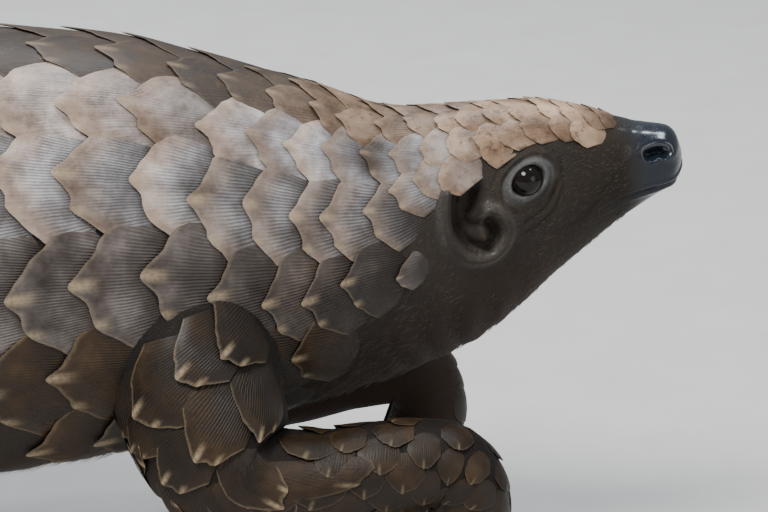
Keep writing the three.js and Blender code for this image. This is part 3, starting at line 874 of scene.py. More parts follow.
def limb_tube(joints, side, shift, rings, free_start, free_end):
    """A limb or a part of it, round at its free ends"""
    surface = limb_surface(joints, side, shift)
    along = 0.5 - 0.5 * np.cos(np.linspace(0, math.pi, rings))[:, None]
    points = surface(along, circle(LIMB_SIDES)[None, :])
    middle = points.mean(axis=1)
    steps = np.linalg.norm(np.diff(middle, axis=0), axis=1)
    walked = np.concatenate([[0], np.cumsum(steps)])
    from_start = walked if free_start else walked + walked[-1]
    from_end = walked[-1] - walked if free_end else walked + walked[-1]
    radius = np.linalg.norm(points[:, 0] - middle, axis=1)
    share = np.clip(1 - np.minimum(from_start, from_end) / (END_ROUND * radius), 0, 1)
    inward = END_ROUND * (1 - np.sqrt(1 - share**2))
    return tube_object("limb", middle[:, None] + (points - middle[:, None]) * (1 - inward)[:, None, None])


def claw_start(kind, side, i):
    """Root and direction of a claw, and how deep the root is in the toe"""
    claws = CLAWS[kind]
    place = i - (len(claws["sizes"]) - 1) / 2
    sunk = CLAW_ROOT_DEPTH + abs(place)
    mirror, forward = MIRROR[side], claws["forward"]
    x, y, z = claws["root"]
    x += LIMBS[kind]["shift"][side] - forward * sunk
    y = mirror * (y + place * claws["spacing"])
    yaw = (0 if forward > 0 else math.pi) + forward * mirror * place * math.radians(CLAW_FAN)
    return np.array([x, y, z]), yaw, sunk


def toe_tube(kind, side, i):
    """A rounded toe that holds the claw's root"""
    root, yaw, _ = claw_start(kind, side, i)
    ahead = np.array([math.cos(yaw), math.sin(yaw), 0])
    across = np.array([-ahead[1], ahead[0], 0])
    share = np.linspace(-1, 1, TOE_RINGS)[:, None]
    ring = TOES[kind]["radius"] * np.sqrt(np.maximum(1 - np.abs(share) ** 3, 0.004))
    centre = root + ahead * (share * TOES[kind]["length"] / 2 + 0.5)[..., None]
    points = centre + ring[..., None] * spun(across, np.array([0, 0, 1]), circle(TOE_SIDES)[None, :])
    return tube_object("toe", points)


def body_depth(points):
    """How far points of the trunk stand out of the flesh, in mm, below 0 inside it"""
    station = np.clip(-points[:, 0], 1, 420)
    over = points[:, 2] - body_wide(station)
    tall = half_height(station, over > 0)
    share = np.hypot(points[:, 1] / body_width(station), over / tall)
    return (share - 1) * np.minimum(body_width(station), tall)


def limb_depth(points, joints, side, shift):
    """How far points stand out of a limb, in mm, below 0 inside it"""
    curve = placed_joints(joints, side, shift)
    radii = np.array([joint[3] for joint in joints])
    best = np.full(len(points), 1e9)
    for i in range(len(curve) - 1):
        along = curve[i + 1] - curve[i]
        share = np.clip((points - curve[i]) @ along / (along @ along), 0, 1)
        radius = radii[i] + share * (radii[i + 1] - radii[i])
        away = np.linalg.norm(points - curve[i] - share[:, None] * along, axis=1)
        best = np.minimum(best, away - radius)
    return best


def join_weights(points):
    """Where skin parts meet, so that only these places are smoothed"""
    weights = np.zeros(len(points))
    trunk = body_depth(points)
    for kind, limb in LIMBS.items():
        for side in MIRROR:
            shift = limb["shift"][side]
            leg, foot = (limb_depth(points, limb[part], side, shift) for part in ("leg", "foot"))
            joins = {"root": (trunk, leg)}
            if len(LIMB_TUBES[kind]) > 1:
                joins["ankle"] = (foot, leg)
            for join, (a, b) in joins.items():
                away = np.maximum(np.abs(a), np.abs(b))
                weights = np.maximum(weights, JOIN_WEIGHT * (1 - smooth(*JOIN_REACH[join], away)))
    return weights


def skin_values(points):
    """Where the skin gets painted shade among the scales, glossy above, nose, eyelid and so on, each from 0
    to 1
    """
    right = folded_right(points)
    station = -points[:, 0]
    head = 1 - smooth(78, 84, station)
    r, _, _ = eye_distance(right)
    slit = line_distance(right, curved(NOSTRIL))
    trench, cup = (line_distance(right, curved(line)) for line in (EAR_TRENCH, EAR_CUP))
    ear = np.minimum(trench / 2.2, cup / 6)
    rim = line_distance(right, curved(EAR_RIM))
    side = np.clip(station, 1, 420)
    low = smooth(0, 1, (body_wide(side) - points[:, 2]) / (body_wide(side) - body_floor(side)))
    lips = line_distance(right, mouth_line())
    # painted shade on the skin among the scales of the trunk's sides and of the limbs' outer sides
    flank = smooth(100, 125, station) * (1 - smooth(0.5, 0.9, low))
    limb = smooth(41, 46, -right[:, 1]) * (1 - smooth(70, 80, points[:, 2])) * smooth(10, 22, points[:, 2])
    return {
        "under": np.maximum(flank, limb),
        "gloss": smooth(130, 136, points[:, 2]),
        "nose": (1 - smooth(10, 20, station + PAD_SLANT * (PAD_LEVEL - points[:, 2]))) * head,
        "lid": (1 - smooth(6.4, 7.8, r)) * head,
        "wet": (1 - smooth(4.6, 5.6, r)) * head,
        # painted shade in the ear's hollow and in the nostril
        "hollow": np.maximum(1 - smooth(0.5, 1.0, ear), 1 - smooth(0.8, 1.7, slit)) * head,
        "rim": hump(rim, 1.8) * head,
        "lips": (1 - smooth(0.4, 1.6, lips)) * head,
        "warm": low * smooth(20, 60, station),
        "crown": (1 - low) * smooth(20, 45, station),
        "foot": 1 - smooth(22, 34, points[:, 2]),
    }


def build_skin(material):
    parts = [body_tube()]
    for kind, limb in LIMBS.items():
        for side in MIRROR:
            shift = limb["shift"][side]
            parts += [limb_tube(joints, side, shift, *ends) for joints, *ends in LIMB_TUBES[kind]]
            parts += [toe_tube(kind, side, i) for i in range(len(CLAWS[kind]["sizes"]))]
    skin = united("skin", parts)
    mesh = skin.data
    edges = read(mesh.edges, "vertices", 2, np.int32)
    points = to_drawn(vertex_points(mesh))
    points = relaxed(points, edges, join_weights(points), JOIN_ROUNDS)
    points[:, 2] = np.maximum(points[:, 2], FLOOR_CLEAR)
    mesh.vertices.foreach_set("co", (points * METRES + OFFSET).astype(np.float32).ravel())
    add_values(mesh, skin_values(points))
    mesh.polygons.foreach_set("use_smooth", np.ones(len(mesh.polygons), bool))
    mesh.materials.clear()
    mesh.materials.append(material)
    mesh.update()
    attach(skin, "root")
    nodes = ["head", "neck", "torso", "tail_1", "tail_2", "tail_3", "tail_4", "ear_L", "ear_R"]
    nodes += [kind + part + side for kind in LIMBS for part in ("leg_", "foot_") for side in MIRROR]
    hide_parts(*nodes)
    return skin


# Scales


def scale_outline(i, side, wear, point):
    """Length of a scale along each of its columns, as a share of its full length

    It has a beak-like middle point, a smaller one towards the belly, and shoulders that fall to the straight
    sides, and is rounder with less of a point."""
    shoulder = 1 - 0.07 * point - (0.34 + 0.08 * point) * np.abs(i) ** (2.4 - 0.8 * point)
    beak = 0.07 * point * hump(i, 0.13)
    second = point * (0.045 * hump(i - 0.5 * side, 0.13) + 0.015 * hump(i + 0.55 * side, 0.12))
    chips = 0.012 * np.sin(9 * i + wear) + 0.007 * np.sin(23 * i + 3 * wear)
    return shoulder + beak + second + chips


def column_places(columns):
    """Columns of a scale from -1 to 1, closer in its middle, where the point is"""
    even = np.linspace(-1, 1, columns)
    return np.sign(even) * np.abs(even) ** 1.25


def scale_grid(places, columns, rows):
    """Across, back and height in mm of each scale's upper side: arrays of scale, column, row"""
    i = column_places(columns)[None, :, None]
    j = np.linspace(0, 1, rows)[None, None, :]
    names = ("width", "length", "lift", "side", "wear", "tilt", "point")
    width, length, lift, side, wear, tilt, point = (places[key][:, None, None] for key in names)
    back = j * scale_outline(i, side, wear, point)
    across = i * (ROOT_WIDTH + (1 - ROOT_WIDTH) * j) + 0 * back
    height = lift * (-0.35 + 1.35 * np.maximum(back, 0) ** 0.85) - 0.3 * lift * i**2
    height += 0.1 * lift * np.sin(math.pi * j) + tilt * i
    height += 0.09 * lift * hump(i, 0.07) * smooth(0.7, 0.98, j)
    height += 0.05 * lift * hump(i - 0.56 * side, 0.06) * smooth(0.8, 0.98, j)
    height -= 0.06 * lift * smooth(0.93, 1, j)
    return across * width / 2, back * length, height


def place_on(surface, places, across, back, height, step):
    """Points of scales that lie on a surface and point along it, or turned on it"""
    along, angle = places["along"], places["angle"]
    behind, around, _ = tangents(surface, along, angle, step)
    along_share = 2 * step / np.linalg.norm(behind, axis=-1)
    angle_share = 2 * TURN_STEP / np.linalg.norm(around, axis=-1)
    extra = (slice(None),) + (None,) * (across.ndim - 1)
    cos, sin = np.cos(places["turn"])[extra], np.sin(places["turn"])[extra]
    at = along[extra] + (back * cos - across * sin) * along_share[extra]
    round_at = angle[extra] + (across * cos + back * sin) * angle_share[extra]
    normal = tangents(surface, at, round_at, step)[2]
    return surface(at, round_at) + normal * height[..., None]


def rim_index(columns, rows):
    """The upper side's points along its two sides and its rear margin, in order"""
    left = list(range(rows))
    rear = [i * rows + rows - 1 for i in range(1, columns)]
    right = [(columns - 1) * rows + j for j in range(rows - 2, -1, -1)]
    return np.array(left + rear + right)


def repeated(parts, count, total):
    """The faces of one piece again for each of many, which have as many points each"""
    shift = (np.arange(count) * total)[:, None, None]
    return [(part[None] + shift).reshape(-1, part.shape[1]) for part in parts]


def build_scales(name, surface, places, step, material, columns, rows):
    """One piece of closed scales with a thick rim and an underside"""
    count = len(places["along"])
    across, back, height = scale_grid(places, columns, rows)
    flat = [part.reshape(count, -1) for part in (across, back, height)]
    rim = rim_index(columns, rows)
    thick = places["thick"][:, None]
    edge = [part[:, rim] for part in flat]
    below = [edge[0] * UNDERSIDE[0], edge[1] * UNDERSIDE[1], edge[2] - thick]
    keel = [np.zeros((count, 1)), KEEL[0] * places["length"][:, None], KEEL[1] * places["lift"][:, None]]
    spread = [np.concatenate(parts, axis=1) for parts in zip(flat, edge, below, keel)]
    points = place_on(surface, places, *spread, step)

    top = columns * rows
    lip = top + np.arange(len(rim))
    under = lip + len(rim)
    point = top + 2 * len(rim)
    skirt = np.stack([lip[:-1], lip[1:], under[1:], under[:-1]], axis=1)
    fan = np.stack([under[:-1], under[1:], np.full(len(rim) - 1, point)], axis=1)
    quads = np.concatenate([grid_faces(columns, rows, closed=False), skirt])
    total = point + 1
    faces = repeated((quads, fan), count, total)

    i = np.repeat(0.5 + 0.5 * column_places(columns), rows)
    j = np.tile(np.linspace(0, 1, rows), columns)
    u = np.concatenate([i, i[rim], i[rim], [0.5]])
    v = np.concatenate([j, j[rim], j[rim] + 1, [1.5]])
    local = np.tile(np.stack([u, v], axis=1), (count, 1))
    bake = atlas(count, u, np.concatenate([j, j[rim], 0.98 * j[rim], [0.3]]))
    each = {key: np.repeat(places[key], total) for key in SCALE_VALUES}
    made = make_object(name, points.reshape(-1, 3), faces, material, {"ScaleUV": local, "OFBake": bake}, each)
    if signed_normal(made.data, count, total, top, surface, places) < 0:
        made.data.flip_normals()
    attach(made, "root")
    return made


def signed_normal(mesh, count, total, top, surface, places):
    """Above 0 where the upper sides face out of the skin"""
    normals = read(mesh.vertices, "normal", 3).reshape(count, total, 3)[:, top // 2]
    outward = tangents(surface, places["along"], places["angle"], LIMB_STEP)[2]
    return np.einsum("ij,ij->", normals, outward)


def atlas(count, u, v):
    """A place of its own in the bake map for each scale, in the order of rings and rows"""
    cells = math.ceil(math.sqrt(count))
    cell = np.arange(count)
    corner = np.stack([cell % cells, cell // cells], axis=1)[:, None, :]
    patch = np.stack([u, v], axis=1)[None] * PATCH_SHARE + (1 - PATCH_SHARE) / 2
    return ((corner + patch) / cells).reshape(-1, 2)


pitch_at = table_curve(SCALE_PITCH)
reach_at = table_curve(SCALE_REACH)
roll_at = table_curve(SCALE_ROLL)
lift_at = table_curve(SCALE_LIFT)
squeeze_at = table_curve(ROW_SQUEEZE)


def ring_stations():
    """Rings of scale tips, from one whose place the photo gives to the head and to the tail"""
    ahead = [RING_ANCHOR]
    while ahead[-1] > HEAD_TIPS_FROM:
        ahead.append(ahead[-1] - float(pitch_at(ahead[-1] - pitch_at(ahead[-1]) / 2)))
    behind = [RING_ANCHOR]
    while behind[-1] < DRAWN_LENGTH - TAIL_TIP_CLEAR:
        behind.append(behind[-1] + float(pitch_at(behind[-1])))
    return ahead[:0:-1] + behind[:-1]


def row_places():
    """Tip, angle, pitch, distance to the next row and side of each scale in the rows of the body"""
    found = []
    for ring in ring_stations():
        pitch = float(pitch_at(ring))
        angles = [rows for start, rows in ROWS if start <= ring][-1]
        for row in range(1 - len(angles), len(angles)):
            number = abs(row)
            tip = ring + pitch * (ROW_PHASES[number] + draw.normal(0, PLACE_SPREAD))
            tip = min(tip, DRAWN_LENGTH - TAIL_TIP_CLEAR)
            gap = angles[number] - angles[number - 1] if number else angles[1]
            angle = np.sign(row) * angles[number] + draw.normal(0, PLACE_SPREAD) * gap
            if angles[number] <= reach_at(tip) and tip >= HEAD_TIPS_FROM:
                found.append((tip, angle, pitch, gap, np.sign(row)))
    return (np.array(column, float) for column in zip(*found))


def body_places():
    """One entry for each scale of the body"""
    tip, angle, pitch, gap, side = row_places()
    squeeze = squeeze_at(tip)
    degrees = angle * squeeze - roll_at(tip)
    neck_side = smooth(84, 95, tip) * (1 - smooth(118, 130, tip)) * (np.abs(degrees) > 55)
    length = np.minimum(pitch * (SCALE_OVERLAP + 0.35 * neck_side), tip - FIRST_ROOT)
    middle = np.radians(degrees)
    half = np.radians(gap * squeeze) / 2
    ends = [body_surface(tip - 0.4 * length, middle + turn) for turn in (half, -half)]
    width = np.linalg.norm(ends[0] - ends[1], axis=1) * SCALE_COVER
    rows = np.stack([tip, degrees, width, length, pitch, side])
    ears = []
    for sign in (-1, 1):
        ears += [[at, sign * turn, *size, pitch_at(at), sign] for at, turn, *size in EAR_SCALES]
    tip, degrees, width, length, pitch, side = np.concatenate([rows, np.array(ears, float).T], axis=1)
    aside = np.abs(degrees)
    lift = lift_at(pitch) * (1 - (1 - RIDGE_LIFT) * (1 - smooth(12, 55, aside)) * smooth(80, 130, tip))
    places = scale_places(tip - length, np.radians(degrees), width, length, lift, side)
    places["point"] = 0.35 + 0.65 * smooth(65, 95, tip)
    # Painted shade: the middle of the back behind the neck and a band round the neck are darkened; the same
    # value also makes the horn rougher
    places["dull_and_shaded"] = np.maximum(smooth(95, 135, tip) * (1 - smooth(14, 42, aside)), 0.4 * hump(tip - 94, 20))
    # Partly painted shade: rows lower on the sides turn brown and dark, both their own colour and the shade
    # that falls below
    places["brown_and_shade"] = smooth(45, 112, aside) * smooth(60, 110, tip)
    places["sandy"] = 1 - smooth(20, 48, aside) * smooth(60, 95, tip)
    places["stria"] = 0.1 + 0.9 * smooth(75, 100, tip) * (0.15 + 0.85 * smooth(34, 68, aside))
    return some_of(places, ~pokes_out(places))


def pokes_out(places):
    """Whether a scale of the trunk is inside an upper arm but for its tip"""
    ends = places["length"][:, None] * [0.75, 1]
    height = places["lift"][:, None] * [0.7, 1]
    spots = place_on(body_surface, places, 0 * ends, ends, height, BODY_STEP)
    arms = [limb_depth(spots.reshape(-1, 3), FORE_LEG, side, LIMBS["fore"]["shift"][side]) for side in MIRROR]
    depth = np.minimum(*arms).reshape(ends.shape)
    return (depth[:, 0] < SUNK[0]) & (depth[:, 1] > SUNK[1])


def varied(values, share):
    """The values, each made a little larger or smaller"""
    return values * (1 + share * np.clip(draw.normal(0, 1, len(values)), -2, 2))


def scale_places(along, angle, width, length, lift, side):
    """Sizes of scales, each a little different"""
    count = len(along)
    lift = varied(lift, SIZE_SPREAD["lift"])
    return {
        "along": along,
        "angle": angle,
        "turn": np.radians(TURN_SPREAD) * draw.normal(0, 1, count),
        "width": varied(width, SIZE_SPREAD["width"]),
        "length": varied(length, SIZE_SPREAD["length"]),
        "lift": lift,
        "side": side,
        "tilt": 0.1 * lift * np.where(side == 0, 1, side),
        "thick": RIM_THICKNESS + LIFT_THICKNESS * lift,
        "wear": draw.uniform(0, 6.28, count),
        "tone": draw.uniform(0, 1, count),
        "lines": width / STRIA_SPACING,
        "cusp": 0.5 + 0.25 * side,
    }


def some_of(places, chosen):
    return {key: values[chosen] for key, values in places.items()}


def ring_shares(limb):
    """Shares of the way down a limb at which its rings of scales have their roots"""
    step_at = table_curve(limb["sizes"])
    shares = [limb["range"][0]]
    while shares[-1] < limb["range"][1]:
        shares.append(shares[-1] + float(step_at(shares[-1])))
    return shares[:-1]


def limb_lattice(part, side):
    """Shares of the way and angles in degrees at which a leg's or foot's scales have their roots"""
    limb = LIMB_SCALES[part]
    found = []
    for ring, share in enumerate(ring_shares(limb)):
        for turn in limb["turns"][ring % 2]:
            bare = [a < share < b and low < turn < high for a, b, low, high in BARE_FOLDS.get(part, [])]
            if not any(bare):
                found.append((share, -MIRROR[side] * turn + draw.normal(0, 2)))
    return (np.array(column, float) for column in zip(*found))


def limb_places(part, side):
    """One entry for each scale of a leg or foot, with the surface that carries them"""
    limb = LIMB_SCALES[part]
    kind = part[:4]
    shift = LIMBS[kind]["shift"][side]
    surface = limb_surface(limb["joints"], side, shift)
    along, degrees = limb_lattice(part, side)
    angle = np.radians(degrees)
    even = np.zeros(len(along))
    width, length, lift = (table_curve(limb["sizes"], column)(along) for column in (2, 3, 4))
    belly_side = even - (MIRROR[side] if part == "fore_arm" else 0)
    places = scale_places(along, angle, width, length, lift, belly_side)
    back, around, _ = tangents(surface, along, angle, LIMB_STEP)
    ahead, out, up = (table_curve(limb["towards"], column)(along) for column in (1, 2, 3))
    towards = np.stack([ahead, MIRROR[side] * out, up], axis=-1)
    places["turn"] += np.arctan2((unit(around) * towards).sum(axis=1), (unit(back) * towards).sum(axis=1))
    looks = LIMB_LOOKS | (LARGE_LOOKS if part in LARGE_SCALED else {})
    places.update({key: even + value for key, value in looks.items()})
    probes = places["length"][:, None] * [0.6, 0.8, 1]
    spots = place_on(surface, places, 0 * probes, probes, 0 * probes, LIMB_STEP)
    tip = spots[:, -1]
    depths = body_depth(spots.reshape(-1, 3)).reshape(len(along), -1)
    clear = (depths.max(axis=1) > TRUNK_CLEAR) & (tip[:, 2] > SOLE_CLEAR)
    if part.endswith("foot"):
        clear &= limb_depth(tip, LIMBS[kind]["leg"], side, shift) > 0
    return surface, some_of(places, clear)


# Eyes and claws


def build_eye(side, material):
    """An eyeball with a bulging cornea that looks out of the lids"""
    middle, _, up, normal = eye_place()
    middle = middle - normal * EYEBALL["depth"]
    polar = np.linspace(0.02, math.pi - 0.02, EYE_GRID[0])[:, None]
    round_it = spun(np.cross(normal, up), up, circle(EYE_GRID[1])[None, :])
    radius = EYEBALL["radius"] + CORNEA * hump(polar, 0.55)
    points = middle + (radius * np.cos(polar))[..., None] * normal
    points = points + (radius * np.sin(polar))[..., None] * round_it
    if side == "L":
        points[..., 1] *= -1
    made = tube_object("eyeball_" + side, points, material)
    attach(made, "root")
    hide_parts("eye_" + side)
    return made


claw_taper = table_curve(CLAW_TAPER)


def claw_heading(claws, yaw, share):
    """Direction of a claw at shares of its length, as it bends down"""
    fall = np.radians(claws["dip"] + claws["curl"] * share)
    return np.stack([np.cos(yaw) * np.cos(fall), np.sin(yaw) * np.cos(fall), -np.sin(fall)], axis=1)


def claw_points(kind, side, i):
    """A claw that comes out of its toe and bends down to a blunt point, with a ridge along its back"""
    root, yaw, sunk = claw_start(kind, side, i)
    claws = CLAWS[kind]
    length, radius = claws["sizes"][i]
    t = np.linspace(0, 1, CLAW_RINGS)
    moves = (length + sunk) / (CLAW_RINGS - 1) * claw_heading(claws, yaw, (t[:-1] + t[1:]) / 2)
    centre = root + np.concatenate([np.zeros((1, 3)), np.cumsum(moves, axis=0)])
    ahead = claw_heading(claws, yaw, t)
    across = unit(np.cross(ahead, [0.0, 0.0, 1.0]))
    upward = np.cross(across, ahead)
    turn = circle(CLAW_SIDES)
    r = radius * claw_taper(t) * np.where(t > 0.97, 0.7, 1)
    ridge = 1 + 0.06 * hump(np.sin(turn) - 1, 0.12)
    wide = r[:, None] * CLAW_OVAL[0] * np.cos(turn)
    high = r[:, None] * CLAW_OVAL[1] * np.sin(turn) * ridge
    return centre[:, None] + wide[..., None] * across[:, None] + high[..., None] * upward[:, None]


def build_claw(kind, side, i, material):
    made = tube_object(f"{kind}_claw_{side}{i + 1}", claw_points(kind, side, i), material)
    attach(made, "root")
    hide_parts(f"{kind}claw_{side}{i + 1}")
    return made


# Sparse hair


def hair_roots(stations, degrees, count):
    """Stations and angles where tufts grow, none on the eye, the ear, the nose or under the scales"""
    station = draw.uniform(*stations, count)
    side = draw.choice([-1.0, 1.0], count)
    angle = side * np.radians(draw.uniform(*degrees, count))
    right = folded_right(body_surface(station, angle))
    r, _, _ = eye_distance(right)
    ear = np.minimum(line_distance(right, curved(EAR_RIM)), line_distance(right, curved(EAR_CUP)) - 3)
    lips = line_distance(right, mouth_line())
    bare = (r > HAIR_CLEAR["eye"]) & (ear > HAIR_CLEAR["ear"]) & (lips > HAIR_CLEAR["lips"])
    covered = np.abs(np.degrees(angle)) < reach_at(station + 8) * squeeze_at(station) + 12
    legs = [limb_depth(right, limb["leg"], "R", limb["shift"]["R"]) for limb in LIMBS.values()]
    keep = bare & (np.min(legs, axis=0) > 0) & ~(covered & (station < 118))
    return station[keep], angle[keep]


def build_hair(name, material):
    """Tufts of thin three-sided hairs that lie back over the skin"""
    stations, degrees, count, length = HAIR_PATCHES[name]
    station, angle = hair_roots(stations, degrees, count)
    station = np.repeat(station, HAIRS_PER_TUFT)
    angle = np.repeat(angle, HAIRS_PER_TUFT)
    count = len(station)
    place = [middle + draw.normal(0, far, count) for middle, far in zip((station, angle), TUFT_SPREAD)]
    back, around, normal = tangents(body_surface, *place, 0.3)
    lean = unit(unit(back) + unit(around) * draw.normal(0, HAIR_SWAY, (count, 1)))
    rise = draw.uniform(*HAIR_RISE, (count, 1))
    long = varied(np.full(count, float(length)), HAIR_LENGTH_SPREAD)[:, None]
    root = body_surface(*place) - normal * HAIR_DEPTH
    middle = root + long * 0.5 * (lean + normal * rise)
    tip = root + long * (lean + normal * rise * 0.7)
    across = np.cross(lean, normal)
    rings = []
    for centre, size in ((root, 1), (middle, HAIR_MIDDLE)):
        for turn in circle(3):
            rings.append(centre + HAIR_RADIUS * size * (across * math.cos(turn) + normal * math.sin(turn)))
    points = np.stack(rings + [tip], axis=1)
    sides = np.array([[0, 1, 4, 3], [1, 2, 5, 4], [2, 0, 3, 5]])
    ends = np.array([[3, 4, 6], [4, 5, 6], [5, 3, 6]])
    faces = repeated((sides, ends), count, HAIR_POINTS)
    local = np.array([[0, 0], [0.5, 0], [1, 0], [0, 0.5], [0.5, 0.5], [1, 0.5], [0.5, 1]])
    local = np.tile(local, (count, 1))
    corner = np.stack([station / DRAWN_LENGTH, (angle + math.pi) / (2 * math.pi)], axis=1) * 0.98 + 0.005
    bake = np.repeat(corner, HAIR_POINTS, axis=0) + PATCH_SIZE * local
    made = make_object(name, points.reshape(-1, 3), faces, material, {"HairUV": local, "OFBake": bake})
    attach(made, "root")
    return made


# Materials


def node(tree, kind, inputs=None, **settings):
    """A shader node with its settings, and its inputs set to a value or linked to a socket"""
    made = tree.nodes.new("ShaderNode" + kind)
    for key, value in settings.items():
        setattr(made, key, value)
    for key, value in (inputs or {}).items():
        if isinstance(value, bpy.types.NodeSocket):
            tree.links.new(value, made.inputs[key])
        else:
            made.inputs[key].default_value = value
    return made


def maths(tree, operation, a, b=0.0, clamp=False):
    return node(tree, "Math", {0: a, 1: b}, operation=operation, use_clamp=clamp).outputs[0]


def times(tree, a, b):
    return maths(tree, "MULTIPLY", a, b)


def plus(tree, a, b):
    return maths(tree, "ADD", a, b)


def most(tree, first, *others):
    """The largest of several values"""
    for value in others:
        first = maths(tree, "MAXIMUM", first, value)
    return first


def weighted(tree, *terms):
    """The sum of values, each times its share"""
    total = 0.0
    for value, share in terms:
        total = plus(tree, total, times(tree, value, share))
    return total


def between(tree, value, low, high, start=0.0, end=1.0):
    """A value's smooth rise from start to end as it goes from low to high"""
    settings = {"interpolation_type": "SMOOTHSTEP"}
    inputs = {"Value": value, "From Min": low, "From Max": high, "To Min": start, "To Max": end}
    return node(tree, "MapRange", inputs, **settings).outputs["Result"]


def mixed(tree, factor, a, b, blend="MIX"):
    """A mix of two colours, each a socket or red, green and blue"""
    a, b = (colour(*shade) if isinstance(shade, tuple) else shade for shade in (a, b))
    made = node(tree, "Mix", {0: factor, 6: a, 7: b}, data_type="RGBA", blend_type=blend)
    return made.outputs[2]


def layered(tree, base, *layers):
    """A colour with others over it: where each shows, how strongly, and what it is"""
    for where, share, shade in layers:
        base = mixed(tree, times(tree, where, share), base, shade)
    return base


def colour(red, green, blue):
    return (red, green, blue, 1.0)


def ramp(tree, factor, stops):
    made = node(tree, "ValToRGB", {"Fac": factor})
    band = made.color_ramp
    while len(band.elements) < len(stops):
        band.elements.new(0.5)
    for element, (place, shade) in zip(band.elements, stops):
        element.position = place
        element.color = colour(*shade)
    return made.outputs["Color"]


def attribute(tree, name):
    return node(tree, "Attribute", attribute_name=name).outputs["Fac"]


def noise(tree, vector, scale, detail=4.0, roughness=0.55):
    inputs = {"Vector": vector, "Scale": scale, "Detail": detail, "Roughness": roughness}
    return node(tree, "TexNoise", inputs).outputs["Fac"]


def new_material(name):
    """A material with its tree, its shader and the object's own coordinates in metres"""
    made = bpy.data.materials.new(name)
    made.use_nodes = True
    tree = made.node_tree
    tree.nodes.clear()
    shader = node(tree, "BsdfPrincipled")
    output = node(tree, "OutputMaterial")
    tree.links.new(shader.outputs[0], output.inputs["Surface"])
    place = node(tree, "TexCoord").outputs["Object"]
    return made, tree, shader, place


def relief(tree, shader, height, distance, strength=1.0):
    made = node(tree, "Bump", {"Height": height, "Distance": distance, "Strength": strength})
    tree.links.new(made.outputs["Normal"], shader.inputs["Normal"])


def striae(tree, across, lines, place):
    """Fine lines from the root to the rear margin, 1 on their crests"""
    turns = times(tree, times(tree, across, lines), 2 * math.pi)
    wander = times(tree, noise(tree, place, 150, 3), 5.0)
    wave = maths(tree, "SINE", plus(tree, turns, wander))
    return plus(tree, times(tree, wave, 0.5), 0.5)


def stretched_noise(tree, u, v, tone, scale, detail):
    """Noise on a scale's own map, another one on each scale"""
    inputs = {0: times(tree, u, scale[0]), 1: times(tree, v, scale[1]), 2: times(tree, tone, 60.0)}
    return noise(tree, node(tree, "CombineXYZ", inputs).outputs[0], 1.0, detail)


def near(tree, value, middle, width):
    """1 where a value is at the middle, 0 where it is a width away"""
    away = maths(tree, "ABSOLUTE", maths(tree, "SUBTRACT", value, middle))
    return between(tree, away, 0.0, width, 1.0, 0.0)


def horn_colour(tree, brown_and_shade, sandy, mottle):
    """Mottled horn: sandy along the middle of the back; grey beside it, made pale and bluish by a painted wet
    sheen; brown below, partly the horn's own brown and partly painted shade
    """
    upper = mixed(tree, sandy, ramp(tree, mottle, GREY_HORN_AND_SHEEN), ramp(tree, mottle, SANDY_HORN))
    return mixed(tree, maths(tree, "POWER", brown_and_shade, 0.55), upper, ramp(tree, mottle, BROWN_HORN))


def pale_points(tree, u, v, cusp, stria, mottle, speck):
    """How much of the worn points and the worn rear rim of a scale shows"""
    beak = times(tree, near(tree, u, 0.5, 0.06), between(tree, v, 0.76, 0.93))
    second = times(tree, near(tree, u, cusp, 0.06), between(tree, v, 0.84, 0.97, 0.0, 0.8))
    rim = times(tree, between(tree, plus(tree, v, times(tree, mottle, 0.05)), 0.97, 1.02), 0.3)
    pale = times(tree, most(tree, beak, second, rim), between(tree, speck, 0.3, 0.6, 0.5, 0.9))
    return times(tree, pale, between(tree, stria, 0.1, 0.8, 0.3, 0.8))


